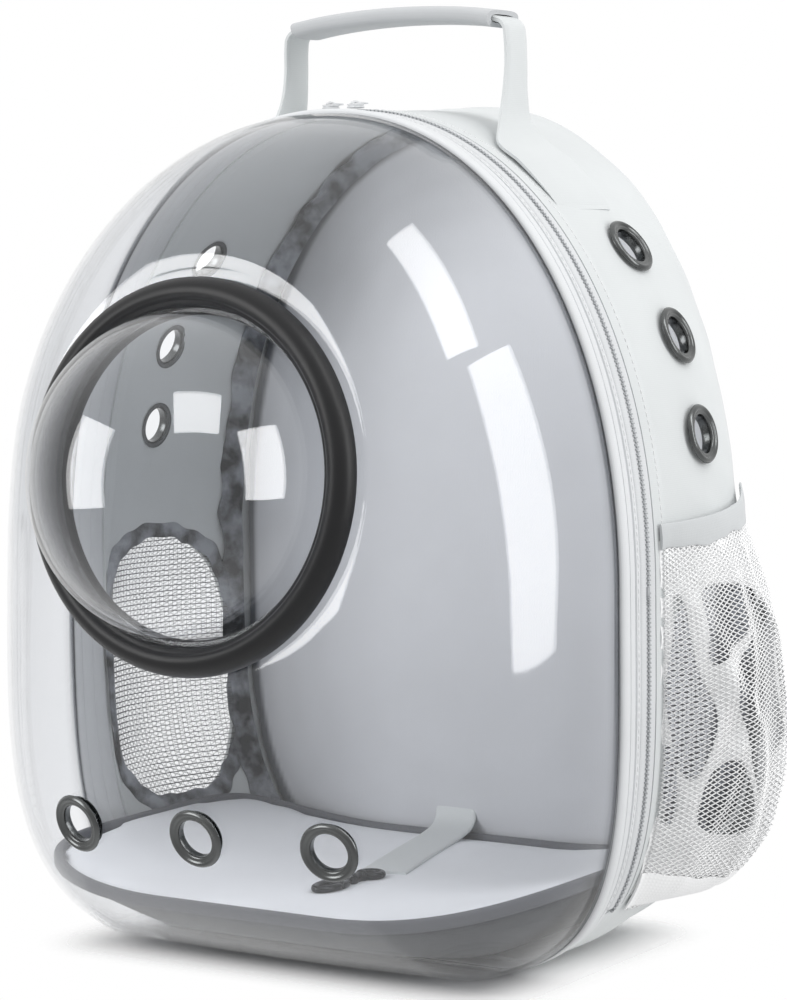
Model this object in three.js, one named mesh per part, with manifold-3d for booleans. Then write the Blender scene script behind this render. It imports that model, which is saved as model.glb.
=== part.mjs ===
// Pet carrier backpack: cloth body, clear moulded front shell, bubble window in a rubber ring.
// Millimetres, +Z up, the front faces -Y. The origin is on the floor under the middle of the base.
// Depth is measured backwards from the seam, the plane where the clear shell meets the cloth body.

import * as THREE from "three";
import { mergeVertices } from "three/addons/utils/BufferGeometryUtils.js";
import Module from "manifold-3d";

const wasm = await Module();
wasm.setup();

const gap = 0.3;
const columns = 44;

const body = {
  halfWidth: 166.5,
  height: 420,
  waistZ: 190,
  crownPower: 2.12,
  footReach: 1.03,
  seamY: -73,
  backDepth: 147,
  cloth: 3,
  softFloorZ: 25,
};

// How far the cloth body stands out from the seam outline on its way to the back, and how square its foot is.
const swell = [
  { depth: 0, side: 0, top: 0, footPower: 4.3 },
  { depth: 22, side: 1.5, top: 1, footPower: 4.1 },
  { depth: 50, side: 7, top: 3, footPower: 3.9 },
  { depth: 76, side: 9, top: 4, footPower: 3.5 },
  { depth: 105, side: 6, top: 5, footPower: 3.4 },
  { depth: 130, side: -3, top: 7.5, footPower: 3.4 },
  { depth: 147, side: -12, top: 9, footPower: 3.4 },
];

// Front to back, the strips that are sewn one behind the other round the seam.
const strips = {
  piping: { from: 0.3, to: 7 },
  frontBand: { from: 7.3, to: 17 },
  zipper: { from: 17.3, to: 29 },
  gusset: { from: 29.3, to: 147 },
};

const shell = {
  thick: 2,
  centreZ: 247,
  depth: 110.7,
  tiltDegrees: 5.7,
  holeR: 84,
  seatR: 101,
  sidePower: 1.68,
  crownPower: 1.77,
  footPower: 2.65,
};

const bubble = { radius: 79.5, height: 73, thick: 2, baseH: 1.8, segments: 32, rows: 5 };

const eyelet = { boreR: 8.6, stemR: 9.8, holeR: 10.3, washerR: 13, flangeR: 14.8, crestR: 12.2, segments: 10 };

const frontEyelets = [
  { name: "eyelet_front_1", x: -74, z: 76 },
  { name: "eyelet_front_2", x: 0, z: 76 },
  { name: "eyelet_front_3", x: 74, z: 76 },
];

const sideEyelets = [
  { name: "eyelet_right_1", depth: 76, z: 352 },
  { name: "eyelet_right_2", depth: 81, z: 308 },
  { name: "eyelet_right_3", depth: 79, z: 260 },
  { name: "eyelet_left_1", depth: 78, z: 350 },
  { name: "eyelet_left_2", depth: 73, z: 303 },
  { name: "eyelet_left_3", depth: 74.5, z: 259 },
];

const sideWindow = { depth: 83, z: 123, halfDepth: 48, halfHeight: 73, power: 2.6, lap: 4, points: 24 };

const pocket = {
  frontDepth: 32,
  backDepth: 139,
  footZ: 31,
  frontMouthZ: 219,
  backMouthZ: 236,
  net: 1,
  edgeLift: 0.9,
  folds: 3,
  foldHeight: 2.2,
  columns: 13,
  hemHeight: 14,
  hemThick: 1.5,
};

// How far the pocket stands out from the body at each height.
const pocketSwell = [
  { z: 31, out: 2 },
  { z: 40, out: 17 },
  { z: 53, out: 25 },
  { z: 70, out: 31 },
  { z: 98, out: 33 },
  { z: 130, out: 31 },
  { z: 168, out: 25 },
  { z: 206, out: 17 },
  { z: 236, out: 8 },
];

// The right half of the handle, from the sewn foot up the post to the middle of the grip.
const handleFoot = [
  { z: 371, depth: 62, width: 44 },
  { z: 382, depth: 62, width: 46 },
  { z: 393, depth: 62, width: 46 },
  { z: 402, depth: 63, width: 43 },
];
const handlePost = [
  { x: 70.5, z: 415, depth: 69, width: 31 },
  { x: 68, z: 429, depth: 73, width: 23 },
  { x: 67.5, z: 444, depth: 75, width: 20 },
  { x: 67.2, z: 457, depth: 75, width: 20 },
  { x: 65.8, z: 464, depth: 75, width: 20 },
  { x: 60, z: 467.2, depth: 75, width: 20 },
  { x: 44, z: 469.4, depth: 75, width: 20 },
  { x: 23, z: 471, depth: 75, width: 20 },
  { x: 0, z: 471.6, depth: 75, width: 20 },
];
const handle = { thick: 3, lift: 0.8, gripHalf: 62, gripWidth: 30, gripThick: 9, slotWidth: 22, slotThick: 4.4 };

// The floor pad, ring by ring from its underside to its rim.
const padRings = [
  { z: 4, half: 72, back: 124, front: 4 },
  { z: 13, half: 98, back: 130, front: -34 },
  { z: 24, half: 122, back: 133, front: -62 },
  { z: 33, half: 141, back: 135, front: -85 },
];
const pad = {
  flatZ: 37,
  flatHalf: 52,
  sideRise: 13,
  half: 141,
  midDepth: 40,
  frontPower: 3.8,
  backPower: 6,
  points: 36,
};
const padTop = [0.96, 0.7, 0.35];

// Interpolates between the rows of a table.
function lookUp(table, by, value, column) {
  const next = table.findIndex((row) => row[by] >= value);
  if (next < 0) return table.at(-1)[column];
  if (next === 0) return table[0][column];
  const [low, high] = [table[next - 1], table[next]];
  const share = (value - low[by]) / (high[by] - low[by]);
  return low[column] + share * (high[column] - low[column]);
}

// The outline seen from the front: a superellipse, widest at the waist, cut flat where it stands.
function arch(angle, halfWidth, height, footPower) {
  const across = Math.cos(angle);
  const up = Math.sin(angle);
  const power = up > 0 ? body.crownPower : footPower;
  const reach = up > 0 ? height - body.waistZ : body.waistZ * body.footReach;
  const x = halfWidth * Math.sign(across) * Math.abs(across) ** (2 / power);
  const z = body.waistZ + reach * Math.sign(up) * Math.abs(up) ** (2 / power);
  return { x, z: Math.max(z, 0) };
}

const seamOutline = (angle) => arch(angle, body.halfWidth, body.height, swell[0].footPower);

// Angles that divide the outline evenly, starting from the middle of the base.
function evenAngles(count) {
  const samples = 2000;
  const walk = [0];
  const angles = [-Math.PI / 2];
  for (let i = 1; i <= samples; i++) {
    angles.push(-Math.PI / 2 + (2 * Math.PI * i) / samples);
    const [a, b] = [angles[i - 1], angles[i]].map(seamOutline);
    walk.push(walk[i - 1] + Math.hypot(b.x - a.x, b.z - a.z));
  }
  const table = walk.map((length, i) => ({ length, angle: angles[i] }));
  return Array.from({ length: count }, (_, i) => lookUp(table, "length", (walk[samples] * i) / count, "angle"));
}
const angles = evenAngles(columns);

function bodySurface(angle, depth) {
  const [side, top, footPower] = ["side", "top", "footPower"].map((column) => lookUp(swell, "depth", depth, column));
  const edge = arch(angle, body.halfWidth + side, body.height + top, footPower);
  return new THREE.Vector3(edge.x, body.seamY + depth, edge.z);
}

// The angle on the right side of the body that lies at a given height.
function angleAt(z, depth) {
  const rise = z - body.waistZ;
  const crownReach = body.height + lookUp(swell, "depth", depth, "top") - body.waistZ;
  const reach = rise > 0 ? crownReach : body.waistZ * body.footReach;
  const power = rise > 0 ? body.crownPower : lookUp(swell, "depth", depth, "footPower");
  return Math.asin(Math.sign(rise) * (Math.abs(rise) / reach) ** (power / 2));
}

const tilt = Math.tan(THREE.MathUtils.degToRad(shell.tiltDegrees));
const seatDepthAt = (z) => shell.depth + (shell.centreZ - z) * tilt;

// The moulded shell: stop 0 is the edge of its hole, 1 the outer edge of the flat seat, 2 the seam.
function shellSurface(angle, stop) {
  const edge = seamOutline(angle);
  const toEdge = new THREE.Vector2(edge.x, edge.z - shell.centreZ);
  const reach = toEdge.length();
  toEdge.normalize();
  if (stop < 1) {
    const r = shell.holeR + (shell.seatR - shell.holeR) * stop;
    const z = shell.centreZ + r * toEdge.y;
    return new THREE.Vector3(r * toEdge.x, body.seamY - seatDepthAt(z), z);
  }
  const turn = ((2 - stop) * Math.PI) / 2;
  const [low, high] = [Math.max(0, -toEdge.y) ** 2, Math.max(0, toEdge.y)];
  const { sidePower, crownPower, footPower } = shell;
  const power = sidePower + (footPower - sidePower) * low + (crownPower - sidePower) * high;
  const r = shell.seatR + (reach - shell.seatR) * Math.max(0, Math.cos(turn)) ** (2 / power);
  const full = seatDepthAt(shell.centreZ + shell.seatR * toEdge.y);
  const forward = Math.sin(turn);
  const depth = full * Math.sign(forward) * Math.abs(forward) ** (2 / power);
  return new THREE.Vector3(r * toEdge.x, body.seamY - depth, shell.centreZ + r * toEdge.y);
}

function normalOf(surface, angle, stop) {
  const step = 0.004;
  const back = surface(angle, stop + step).sub(surface(angle, stop - step));
  const round = surface(angle + step, stop).sub(surface(angle - step, stop));
  return back.cross(round).normalize();
}

// A point off a surface along its outward normal. Nothing stands out below the base.
function lifted(surface, angle, stop, lift) {
  const point = surface(angle, stop);
  if (lift === 0) return point;
  const clear = lift > 0 ? Math.min(1, point.z / body.softFloorZ) : 1;
  return point.addScaledVector(normalOf(surface, angle, stop), lift * clear);
}

function signedVolume(positions, index) {
  const corner = (i) => new THREE.Vector3().fromArray(positions, 3 * index[i]);
  let volume = 0;
  for (let i = 0; i < index.length; i += 3) volume += corner(i).dot(corner(i + 1).cross(corner(i + 2))) / 6;
  return volume;
}

// A solid lofted through loops of points, each with the same count. A closed run joins its last loop to its
// first; an open run is capped with rungs from each point to the one opposite.
function loft(loops, closed) {
  const positions = [];
  const known = new Map();
  const place = (p) => {
    const key = [p.x, p.y, p.z].map((v) => v.toFixed(4)).join();
    if (!known.has(key)) {
      known.set(key, positions.length / 3);
      positions.push(p.x, p.y, p.z);
    }
    return known.get(key);
  };
  const grid = loops.map((loop) => loop.map(place));
  const count = grid[0].length;
  const index = [];
  const triangle = (a, b, c) => {
    if (a !== b && b !== c && a !== c) index.push(a, b, c);
  };
  const quad = (a, b, c, d) => {
    triangle(a, b, c);
    triangle(a, c, d);
  };
  const runs = closed ? grid.length : grid.length - 1;
  for (let i = 0; i < runs; i++) {
    const [here, there] = [grid[i], grid[(i + 1) % grid.length]];
    for (let j = 0; j < count; j++) quad(here[j], here[(j + 1) % count], there[(j + 1) % count], there[j]);
  }
  if (!closed)
    for (let k = 0; k < count / 2 - 1; k++) {
      const [first, last] = [grid[0], grid.at(-1)];
      quad(first[count - 1 - k], first[count - 2 - k], first[k + 1], first[k]);
      quad(last[k], last[k + 1], last[count - 2 - k], last[count - 1 - k]);
    }
  if (signedVolume(positions, index) < 0) index.reverse();
  return new THREE.BufferGeometry()
    .setAttribute("position", new THREE.Float32BufferAttribute(positions, 3))
    .setIndex(index);
}

// A strip round a surface. The section lists its corners as a stop along the surface and a lift off it.
function strip(surface, around, sectionAt, closed) {
  const loops = around.map((angle) => sectionAt(angle).map((c) => lifted(surface, angle, c.stop, c.lift)));
  return loft(loops, closed);
}

// The section of a wall of even thickness, which lies inside its surface.
function wallSection(stops, thick) {
  const outside = stops.map((stop) => ({ stop, lift: 0 }));
  const inside = stops.toReversed().map((stop) => ({ stop, lift: -thick }));
  return [...outside, ...inside];
}

function solidOf(geometry) {
  const bare = new THREE.BufferGeometry().setAttribute("position", geometry.getAttribute("position"));
  bare.setIndex(geometry.index);
  const merged = mergeVertices(bare, 1e-4);
  return new wasm.Manifold(
    new wasm.Mesh({
      numProp: 3,
      vertProperties: new Float32Array(merged.getAttribute("position").array),
      triVerts: new Uint32Array(merged.index.array),
    }),
  );
}

function geometryOf(solid) {
  const mesh = solid.getMesh();
  return new THREE.BufferGeometry()
    .setAttribute("position", new THREE.BufferAttribute(new Float32Array(mesh.vertProperties), 3))
    .setIndex(new THREE.BufferAttribute(new Uint32Array(mesh.triVerts), 1));
}

const cut = (geometry, cutters) =>
  geometryOf(cutters.reduce((solid, cutter) => solid.subtract(solidOf(cutter)), solidOf(geometry)));

const join = (pieces) => geometryOf(pieces.map(solidOf).reduce((whole, piece) => whole.add(piece)));

function mirrored(geometry) {
  const copy = geometry.clone().scale(-1, 1, 1);
  copy.setIndex([...copy.index.array].reverse());
  return copy;
}

// Turns a section of radii and heights about the Z axis, starting part of a step round.
function revolve(section, segments, start) {
  const loops = Array.from({ length: segments }, (_, i) => {
    const turn = (2 * Math.PI * (i + start)) / segments;
    return section.map(({ r, h }) => new THREE.Vector3(r * Math.cos(turn), r * Math.sin(turn), h));
  });
  return loft(loops, true);
}

// Moves a piece made on the Z axis so that its axis points along a direction from a place.
function placed(geometry, position, direction) {
  const turn = new THREE.Quaternion().setFromUnitVectors(new THREE.Vector3(0, 0, 1), direction);
  return geometry.clone().applyQuaternion(turn).translate(position.x, position.y, position.z);
}

// A flat strap along a smooth line. Its width lies along the direction given by across.
function strap(points, stations, width, thick, across, chamfer = 0) {
  const curve = new THREE.CatmullRomCurve3(points, false, "centripetal");
  const [w, t, c] = [width / 2, thick / 2, chamfer];
  const square = [[-w, -t], [w, -t], [w, t], [-w, t]];
  const soft = [[c - w, -t], [w - c, -t], [w, c - t], [w, t - c], [w - c, t], [c - w, t], [-w, t - c], [-w, c - t]];
  const loops = Array.from({ length: stations }, (_, i) => {
    const along = curve.getTangentAt(i / (stations - 1));
    const side = across.clone().addScaledVector(along, -across.dot(along)).normalize();
    const up = along.clone().cross(side);
    const middle = curve.getPointAt(i / (stations - 1));
    return (chamfer ? soft : square).map(([u, v]) => middle.clone().addScaledVector(side, u).addScaledVector(up, v));
  });
  return loft(loops, false);
}

const at = (x, depth, z) => new THREE.Vector3(x, body.seamY + depth, z);
const bag = new THREE.Group();

function add(name, geometry) {
  const mesh = new THREE.Mesh(geometry);
  mesh.name = name;
  bag.add(mesh);
}

// Eyelets
function eyeletRing(wallThick, start) {
  const outer = 0.4;
  const inner = -wallThick - 2.4;
  return revolve(
    [
      { r: eyelet.boreR, h: inner - 1 },
      { r: eyelet.washerR, h: inner - 1 },
      { r: eyelet.stemR, h: inner },
      { r: eyelet.stemR, h: outer },
      { r: eyelet.flangeR, h: outer },
      { r: eyelet.crestR, h: outer + 2.6 },
      { r: eyelet.boreR, h: outer + 1 },
    ],
    eyelet.segments,
    start,
  );
}

function eyeletHole(position, direction) {
  const drill = new THREE.CylinderGeometry(eyelet.holeR, eyelet.holeR, 24, 16).rotateX(Math.PI / 2);
  return placed(drill, position, direction);
}

// The angle and stop of the shell that show at a place seen from the front.
function findOnShell(x, z) {
  let best = { miss: Infinity };
  let [angleStep, stopStep] = [0.05, 0.02];
  let [aroundAngle, aroundStop] = [-Math.PI / 2, 1.5];
  let [angleSpan, stopSpan] = [1.2, 0.45];
  for (let pass = 0; pass < 3; pass++) {
    for (let angle = aroundAngle - angleSpan; angle <= aroundAngle + angleSpan; angle += angleStep)
      for (let stop = aroundStop - stopSpan; stop <= aroundStop + stopSpan; stop += stopStep) {
        const p = shellSurface(angle, stop);
        const miss = Math.hypot(p.x - x, p.z - z);
        if (miss < best.miss) best = { miss, angle, stop };
      }
    [aroundAngle, aroundStop] = [best.angle, best.stop];
    [angleSpan, stopSpan] = [angleStep, stopStep];
    [angleStep, stopStep] = [angleStep / 20, stopStep / 20];
  }
  return best;
}

const shellHoles = frontEyelets.map(({ name, x, z }) => {
  const { angle, stop } = findOnShell(x, z);
  return { name, position: shellSurface(angle, stop), direction: normalOf(shellSurface, angle, stop) };
});
const bodyHoles = sideEyelets.map(({ name, depth, z }) => {
  const right = angleAt(z, depth);
  const angle = name.includes("left") ? Math.PI - right : right;
  return { name, position: bodySurface(angle, depth), direction: normalOf(bodySurface, angle, depth) };
});
const [shellEyelet, bodyEyelet] = [eyeletRing(shell.thick, 0.25), eyeletRing(body.cloth, 0.75)];
for (const { name, position, direction } of shellHoles) add(name, placed(shellEyelet, position, direction));
for (const { name, position, direction } of bodyHoles) add(name, placed(bodyEyelet, position, direction));

// Front shell
const shellStops = [0, 1, 1.12, 1.28, 1.46, 1.64, 1.8, 1.92, 2];
add(
  "front_shell",
  cut(
    strip(shellSurface, angles, () => wallSection(shellStops, shell.thick), true),
    shellHoles.map(({ position, direction }) => eyeletHole(position, direction)),
  ),
);

// Window ring and bubble
const ringMiddle = at(0, -shell.depth, shell.centreZ);
const ringAxis = new THREE.Vector3(0, -1, tilt).normalize();
const ringSection = [
  { r: 76.5, h: -5 },
  { r: 83.4, h: -5 },
  { r: 83.4, h: gap },
  { r: 94, h: gap },
  { r: 93, h: 7 },
  { r: 89, h: 11 },
  { r: 83, h: 11.5 },
  { r: 80, h: 9 },
  { r: 80, h: 1.4 },
  { r: 76.5, h: 1.4 },
];
add("window_ring", placed(revolve(ringSection, bubble.segments, 0), ringMiddle, ringAxis));

function bubbleArc(radius, height) {
  return Array.from({ length: bubble.rows + 1 }, (_, i) => {
    const climb = (Math.PI / 2) * (i / bubble.rows);
    return { r: radius * Math.cos(climb), h: bubble.baseH + height * Math.sin(climb) };
  });
}
const bubbleSection = [
  ...bubbleArc(bubble.radius, bubble.height),
  ...bubbleArc(bubble.radius - bubble.thick, bubble.height - bubble.thick).reverse(),
];
add("bubble_window", placed(revolve(bubbleSection, bubble.segments, 0), ringMiddle, ringAxis));

// Strips round the seam
const { piping, frontBand, zipper, gusset } = strips;
const pipingSection = [
  { stop: piping.from, lift: -2.5 },
  { stop: piping.from, lift: 1 },
  { stop: 2, lift: 2.4 },
  { stop: 5.2, lift: 2.4 },
  { stop: piping.to, lift: 1 },
  { stop: piping.to, lift: -2.5 },
];
add("edge_piping", strip(bodySurface, angles, () => pipingSection, true));
add("front_band", strip(bodySurface, angles, () => wallSection([frontBand.from, frontBand.to], 2), true));

// Zip, from one lower corner over the crown to the other
const zipFootZ = 30;
const onArch = (angle) => bodySurface(angle, 0).z > zipFootZ;
const zipSection = [
  { stop: zipper.from, lift: 0 },
  { stop: 21, lift: 1.6 },
  { stop: 25.3, lift: 1.6 },
  { stop: zipper.to, lift: 0 },
  { stop: zipper.to, lift: -2 },
  { stop: zipper.from, lift: -2 },
];
add("zipper", strip(bodySurface, angles.filter(onArch), () => zipSection, false));

const sliders = [
  { name: "zip_slider_left", x: -10 },
  { name: "zip_slider_right", x: 5 },
];
const zipMiddle = (zipper.from + zipper.to) / 2;
for (const { name, x } of sliders) {
  const foot = bodySurface(Math.PI / 2, zipMiddle).z + 2;
  const block = new THREE.BoxGeometry(8, 9, 3.4).translate(0, 0, 1.7);
  const tab = new THREE.BoxGeometry(5, 11, 1.4).translate(0, 4, 3.6);
  add(name, join([block, tab]).translate(x, body.seamY + zipMiddle, foot));
}

// Body with a window cut in each side
function windowOutline(grow) {
  return Array.from({ length: sideWindow.points }, (_, i) => {
    const turn = -Math.PI / 2 + (2 * Math.PI * (i + 0.5)) / sideWindow.points;
    const [c, s] = [Math.cos(turn), Math.sin(turn)];
    const bend = (v) => Math.sign(v) * Math.abs(v) ** (2 / sideWindow.power);
    const depth = sideWindow.depth + (sideWindow.halfDepth + grow) * bend(c);
    return { depth, z: sideWindow.z + (sideWindow.halfHeight + grow) * bend(s) };
  });
}
const windowCutter = loft(
  [110, 200].map((x) => windowOutline(0).map(({ depth, z }) => at(x, depth, z))),
  false,
);
const gussetStops = [50, 66, 84, 105, 124, 137, gusset.to];
const gussetSection = (angle) =>
  wallSection([onArch(angle) ? gusset.from : zipper.from, ...gussetStops], body.cloth);
add(
  "gusset",
  cut(strip(bodySurface, angles, gussetSection, true), [
    windowCutter,
    mirrored(windowCutter),
    ...bodyHoles.map(({ position, direction }) => eyeletHole(position, direction)),
  ]),
);

const netLift = -body.cloth - 1.5;
const windowNet = loft(
  [netLift, netLift - 0.8].map((lift) =>
    windowOutline(sideWindow.lap).map(({ depth, z }) => lifted(bodySurface, angleAt(z, depth), depth, lift)),
  ),
  false,
);
add("mesh_window_right", windowNet);
add("mesh_window_left", mirrored(windowNet));

// Back panel, let into the back edge of the body
const panelRings = [
  { depth: 138, inset: 12, scale: 1 },
  { depth: 139.5, inset: 4, scale: 1 },
  { depth: 146, inset: 4, scale: 1 },
  { depth: 150, inset: 4, scale: 0.94 },
];
add(
  "back_panel",
  loft(
    panelRings.map(({ depth, inset, scale }) =>
      angles.map((angle) => {
        const rimDepth = Math.min(depth, body.backDepth - 1);
        const rim = lifted(bodySurface, angle, rimDepth, -inset);
        const z = body.waistZ + (rim.z - body.waistZ) * scale;
        return at(rim.x * scale, depth, z);
      }),
    ),
    false,
  ),
);

// Side pockets of gathered net
function pocketPoint(across, upShare, lift) {
  const depth = THREE.MathUtils.lerp(pocket.frontDepth, pocket.backDepth, across);
  const mouthZ = THREE.MathUtils.lerp(pocket.frontMouthZ, pocket.backMouthZ, across ** 2);
  const z = THREE.MathUtils.lerp(pocket.footZ, mouthZ, upShare);
  const belly = Math.sin(Math.PI * across ** 1.2) ** 0.8;
  const crease = Math.cos(2 * Math.PI * pocket.folds * across + 2 * upShare);
  const out = belly * (lookUp(pocketSwell, "z", z, "out") + pocket.foldHeight * crease * Math.min(1, 6 * upShare));
  return lifted(bodySurface, angleAt(z, depth), depth, pocket.edgeLift + Math.max(0, out) + lift);
}

function pocketSheet(rows, low, high) {
  const loops = Array.from({ length: pocket.columns }, (_, i) => {
    const across = i / (pocket.columns - 1);
    const outside = rows.map((row) => pocketPoint(across, row, high));
    const inside = rows.toReversed().map((row) => pocketPoint(across, row, low));
    return [...outside, ...inside];
  });
  return loft(loops, false);
}
const mouthShare = 1 - pocket.hemHeight / (pocket.frontMouthZ - pocket.footZ);
const net = pocketSheet([0, 0.06, 0.13, 0.24, 0.4, 0.6, mouthShare, 1], 0, pocket.net);
const hemLift = pocket.net + 0.9;
const hem = pocketSheet([mouthShare, 1], hemLift, hemLift + pocket.hemThick);
add("mesh_pocket_right", net);
add("mesh_pocket_left", mirrored(net));
add("pocket_hem_right", hem);
add("pocket_hem_left", mirrored(hem));

// Handle: webbing sewn to the crown at both feet, with a padded sleeve
const strapCorners = [
  { side: -1, face: -1 },
  { side: 0, face: -1 },
  { side: 1, face: -1 },
  { side: 1, face: 1 },
  { side: 0, face: 1 },
  { side: -1, face: 1 },
];
function footLoop({ z, depth, width }, hand) {
  return strapCorners.map(({ side, face }) => {
    const edgeDepth = depth + (side * width) / 2;
    const right = angleAt(z, edgeDepth);
    const lift = handle.lift + (face > 0 ? handle.thick : 0);
    return lifted(bodySurface, hand > 0 ? right : Math.PI - right, edgeDepth, lift);
  });
}

const leftPost = handlePost.slice(0, -1).map((row) => ({ ...row, x: -row.x }));
const postPath = [...handlePost, ...leftPost.reverse()];
function postLoop(i, width, thick) {
  const { x, z, depth } = postPath[i];
  const before = postPath[Math.max(0, i - 1)];
  const after = postPath[Math.min(postPath.length - 1, i + 1)];
  const out = new THREE.Vector2(after.z - before.z, before.x - after.x).normalize();
  return strapCorners.map(({ side, face }) =>
    at(x + (out.x * face * thick) / 2, depth + (side * width) / 2, z + (out.y * face * thick) / 2),
  );
}
add(
  "handle_strap",
  loft(
    [
      ...handleFoot.map((row) => footLoop(row, 1)),
      ...postPath.map((row, i) => postLoop(i, row.width, handle.thick)),
      ...handleFoot.toReversed().map((row) => footLoop(row, -1)),
    ],
    false,
  ),
);

const gripStations = postPath.flatMap((row, i) => (Math.abs(row.x) < handle.gripHalf ? [i] : []));
add(
  "handle_grip",
  loft(
    [
      ...gripStations.map((i) => postLoop(i, handle.gripWidth, handle.gripThick)),
      ...gripStations.toReversed().map((i) => postLoop(i, handle.slotWidth, handle.slotThick)),
    ],
    true,
  ),
);

// Floor pad, its sides riding up in the rounded corners
const padRise = (x) => pad.sideRise * (Math.max(0, Math.abs(x) - pad.flatHalf) / (pad.half - pad.flatHalf)) ** 2;
const padTopAt = (x) => pad.flatZ + padRise(x);
function padRing({ half, back, front }, heightAt) {
  return Array.from({ length: pad.points }, (_, i) => {
    const turn = -Math.PI / 2 + (2 * Math.PI * (i + 0.5)) / pad.points;
    const [c, s] = [Math.cos(turn), Math.sin(turn)];
    const power = s > 0 ? pad.backPower : pad.frontPower;
    const reach = s > 0 ? back - pad.midDepth : pad.midDepth - front;
    const x = half * Math.sign(c) * Math.abs(c) ** (2 / power);
    const depth = pad.midDepth + reach * Math.sign(s) * Math.abs(s) ** (2 / power);
    return at(x, depth, heightAt(x));
  });
}
const padRim = padRings.at(-1);
const shrunk = (share) => ({
  half: padRim.half * share,
  back: pad.midDepth + (padRim.back - pad.midDepth) * share,
  front: pad.midDepth + (padRim.front - pad.midDepth) * share,
});
add(
  "floor_pad",
  loft(
    [
      ...padRings.map((ring) => padRing(ring, (x) => ring.z + (ring.z / padRim.z) * padRise(x))),
      ...padTop.map((share) => padRing(shrunk(share), padTopAt)),
    ],
    false,
  ),
);

// Leash lying on the pad, with its hook
const leash = { width: 25, thick: 1.8, stations: 12 };
const leashLine = [
  at(-12, 136.6, 60),
  at(-12, 136.2, 51),
  at(-10, 130, 42),
  at(-6, 112, 38.8),
  at(4, 72, 38.4),
  at(14, 36, 38.4),
  at(20, 15, 38.4),
];
const widthways = new THREE.Vector3(1, 0, 0);
add("leash_strap", strap(leashLine, leash.stations, leash.width, leash.thick, widthways));

const hookDepth = { eye: 4, stem: -8, bow: -28 };
const hookZ = padTopAt(20) + 2.8;
const hookEye = new THREE.TorusGeometry(7, 2, 5, 12).translate(20, body.seamY + hookDepth.eye, hookZ);
const hookStem = new THREE.BoxGeometry(7, 14, 4).translate(19, body.seamY + hookDepth.stem, hookZ);
const hookBow = new THREE.TorusGeometry(8, 2.2, 5, 12).scale(1, 1.5, 1);
hookBow.translate(18, body.seamY + hookDepth.bow, hookZ);
add("leash_hook", join([hookEye, hookStem, hookBow]));

// Shoulder straps on the back
const shoulder = { width: 58, thick: 10, webWidth: 25, webThick: 2.2, chamfer: 3 };
const backFace = 150;
const padLine = [
  at(46, backFace + 5.5, 392),
  at(47, backFace + 6, 374),
  at(52, backFace + 30, 330),
  at(62, backFace + 36, 250),
  at(76, backFace + 26, 170),
  at(84, backFace + 18, 120),
];
const webLine = [
  at(87.6, backFace + 13.6, 94),
  at(92, backFace + 7.5, 74),
  at(97, backFace + 2, 56),
  at(98, backFace + 1.6, 40),
];
const shoulderPad = strap(padLine, 14, shoulder.width, shoulder.thick, widthways, shoulder.chamfer);
const webbing = strap(webLine, 8, shoulder.webWidth, shoulder.webThick, widthways);
const rise = new THREE.Vector3().subVectors(padLine.at(-1), webLine[0]).normalize();
const buckle = placed(
  new THREE.BoxGeometry(34, 5, 24),
  new THREE.Vector3().addVectors(webLine[0], padLine.at(-1)).multiplyScalar(0.5),
  rise,
);
add("shoulder_pad_right", shoulderPad);
add("shoulder_pad_left", mirrored(shoulderPad));
add("strap_webbing_right", webbing);
add("strap_webbing_left", mirrored(webbing));
add("strap_adjuster_right", buckle);
add("strap_adjuster_left", mirrored(buckle));

export default bag;
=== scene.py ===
"""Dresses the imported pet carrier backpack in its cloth, net, clear plastic, rubber and metal."""

import math

import bmesh
import bpy
import numpy as np
from mathutils import Matrix, Vector


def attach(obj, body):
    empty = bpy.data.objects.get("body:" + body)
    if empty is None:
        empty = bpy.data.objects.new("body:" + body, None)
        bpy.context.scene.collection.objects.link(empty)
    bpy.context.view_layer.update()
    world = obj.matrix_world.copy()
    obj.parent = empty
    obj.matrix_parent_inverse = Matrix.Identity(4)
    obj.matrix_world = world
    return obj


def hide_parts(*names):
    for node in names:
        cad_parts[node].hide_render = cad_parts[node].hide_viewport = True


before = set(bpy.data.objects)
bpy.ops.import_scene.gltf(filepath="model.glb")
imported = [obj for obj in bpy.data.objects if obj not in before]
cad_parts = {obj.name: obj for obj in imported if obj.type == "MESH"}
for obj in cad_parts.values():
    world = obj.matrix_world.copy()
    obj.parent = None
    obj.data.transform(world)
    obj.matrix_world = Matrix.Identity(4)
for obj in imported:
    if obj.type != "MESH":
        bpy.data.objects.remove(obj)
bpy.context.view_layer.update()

# Sizes in millimetres, as in the part's source. Depth runs back from the seam of shell and cloth.
MM = 0.001
HALF_WIDTH = 166.5
HEIGHT = 420.0
WAIST_Z = 190.0
CROWN_POWER = 2.12
FOOT_REACH = 1.03
SEAM_Y = -73.0
BACK_DEPTH = 147.0
BACK_FACE = 150.0
CLOTH = 3.0
SOFT_FLOOR_Z = 25.0
ZIP_FOOT_Z = 30.0
ZIP_MIDDLE = 23.15
ZIP_BACK = 29.3
BAND_BACK = 17.3
SEAM_LENGTH = 1240.0
SIDE_X = 100.0
SIDES = (("right", 1), ("left", -1))

SWELL_ROWS = {
    "depth": [0, 22, 50, 76, 105, 130, 147],
    "side": [0, 1.5, 7, 9, 6, -3, -12],
    "top": [0, 1, 3, 4, 5, 7.5, 9],
    "foot_power": [4.3, 4.1, 3.9, 3.5, 3.4, 3.4, 3.4],
}

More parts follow.
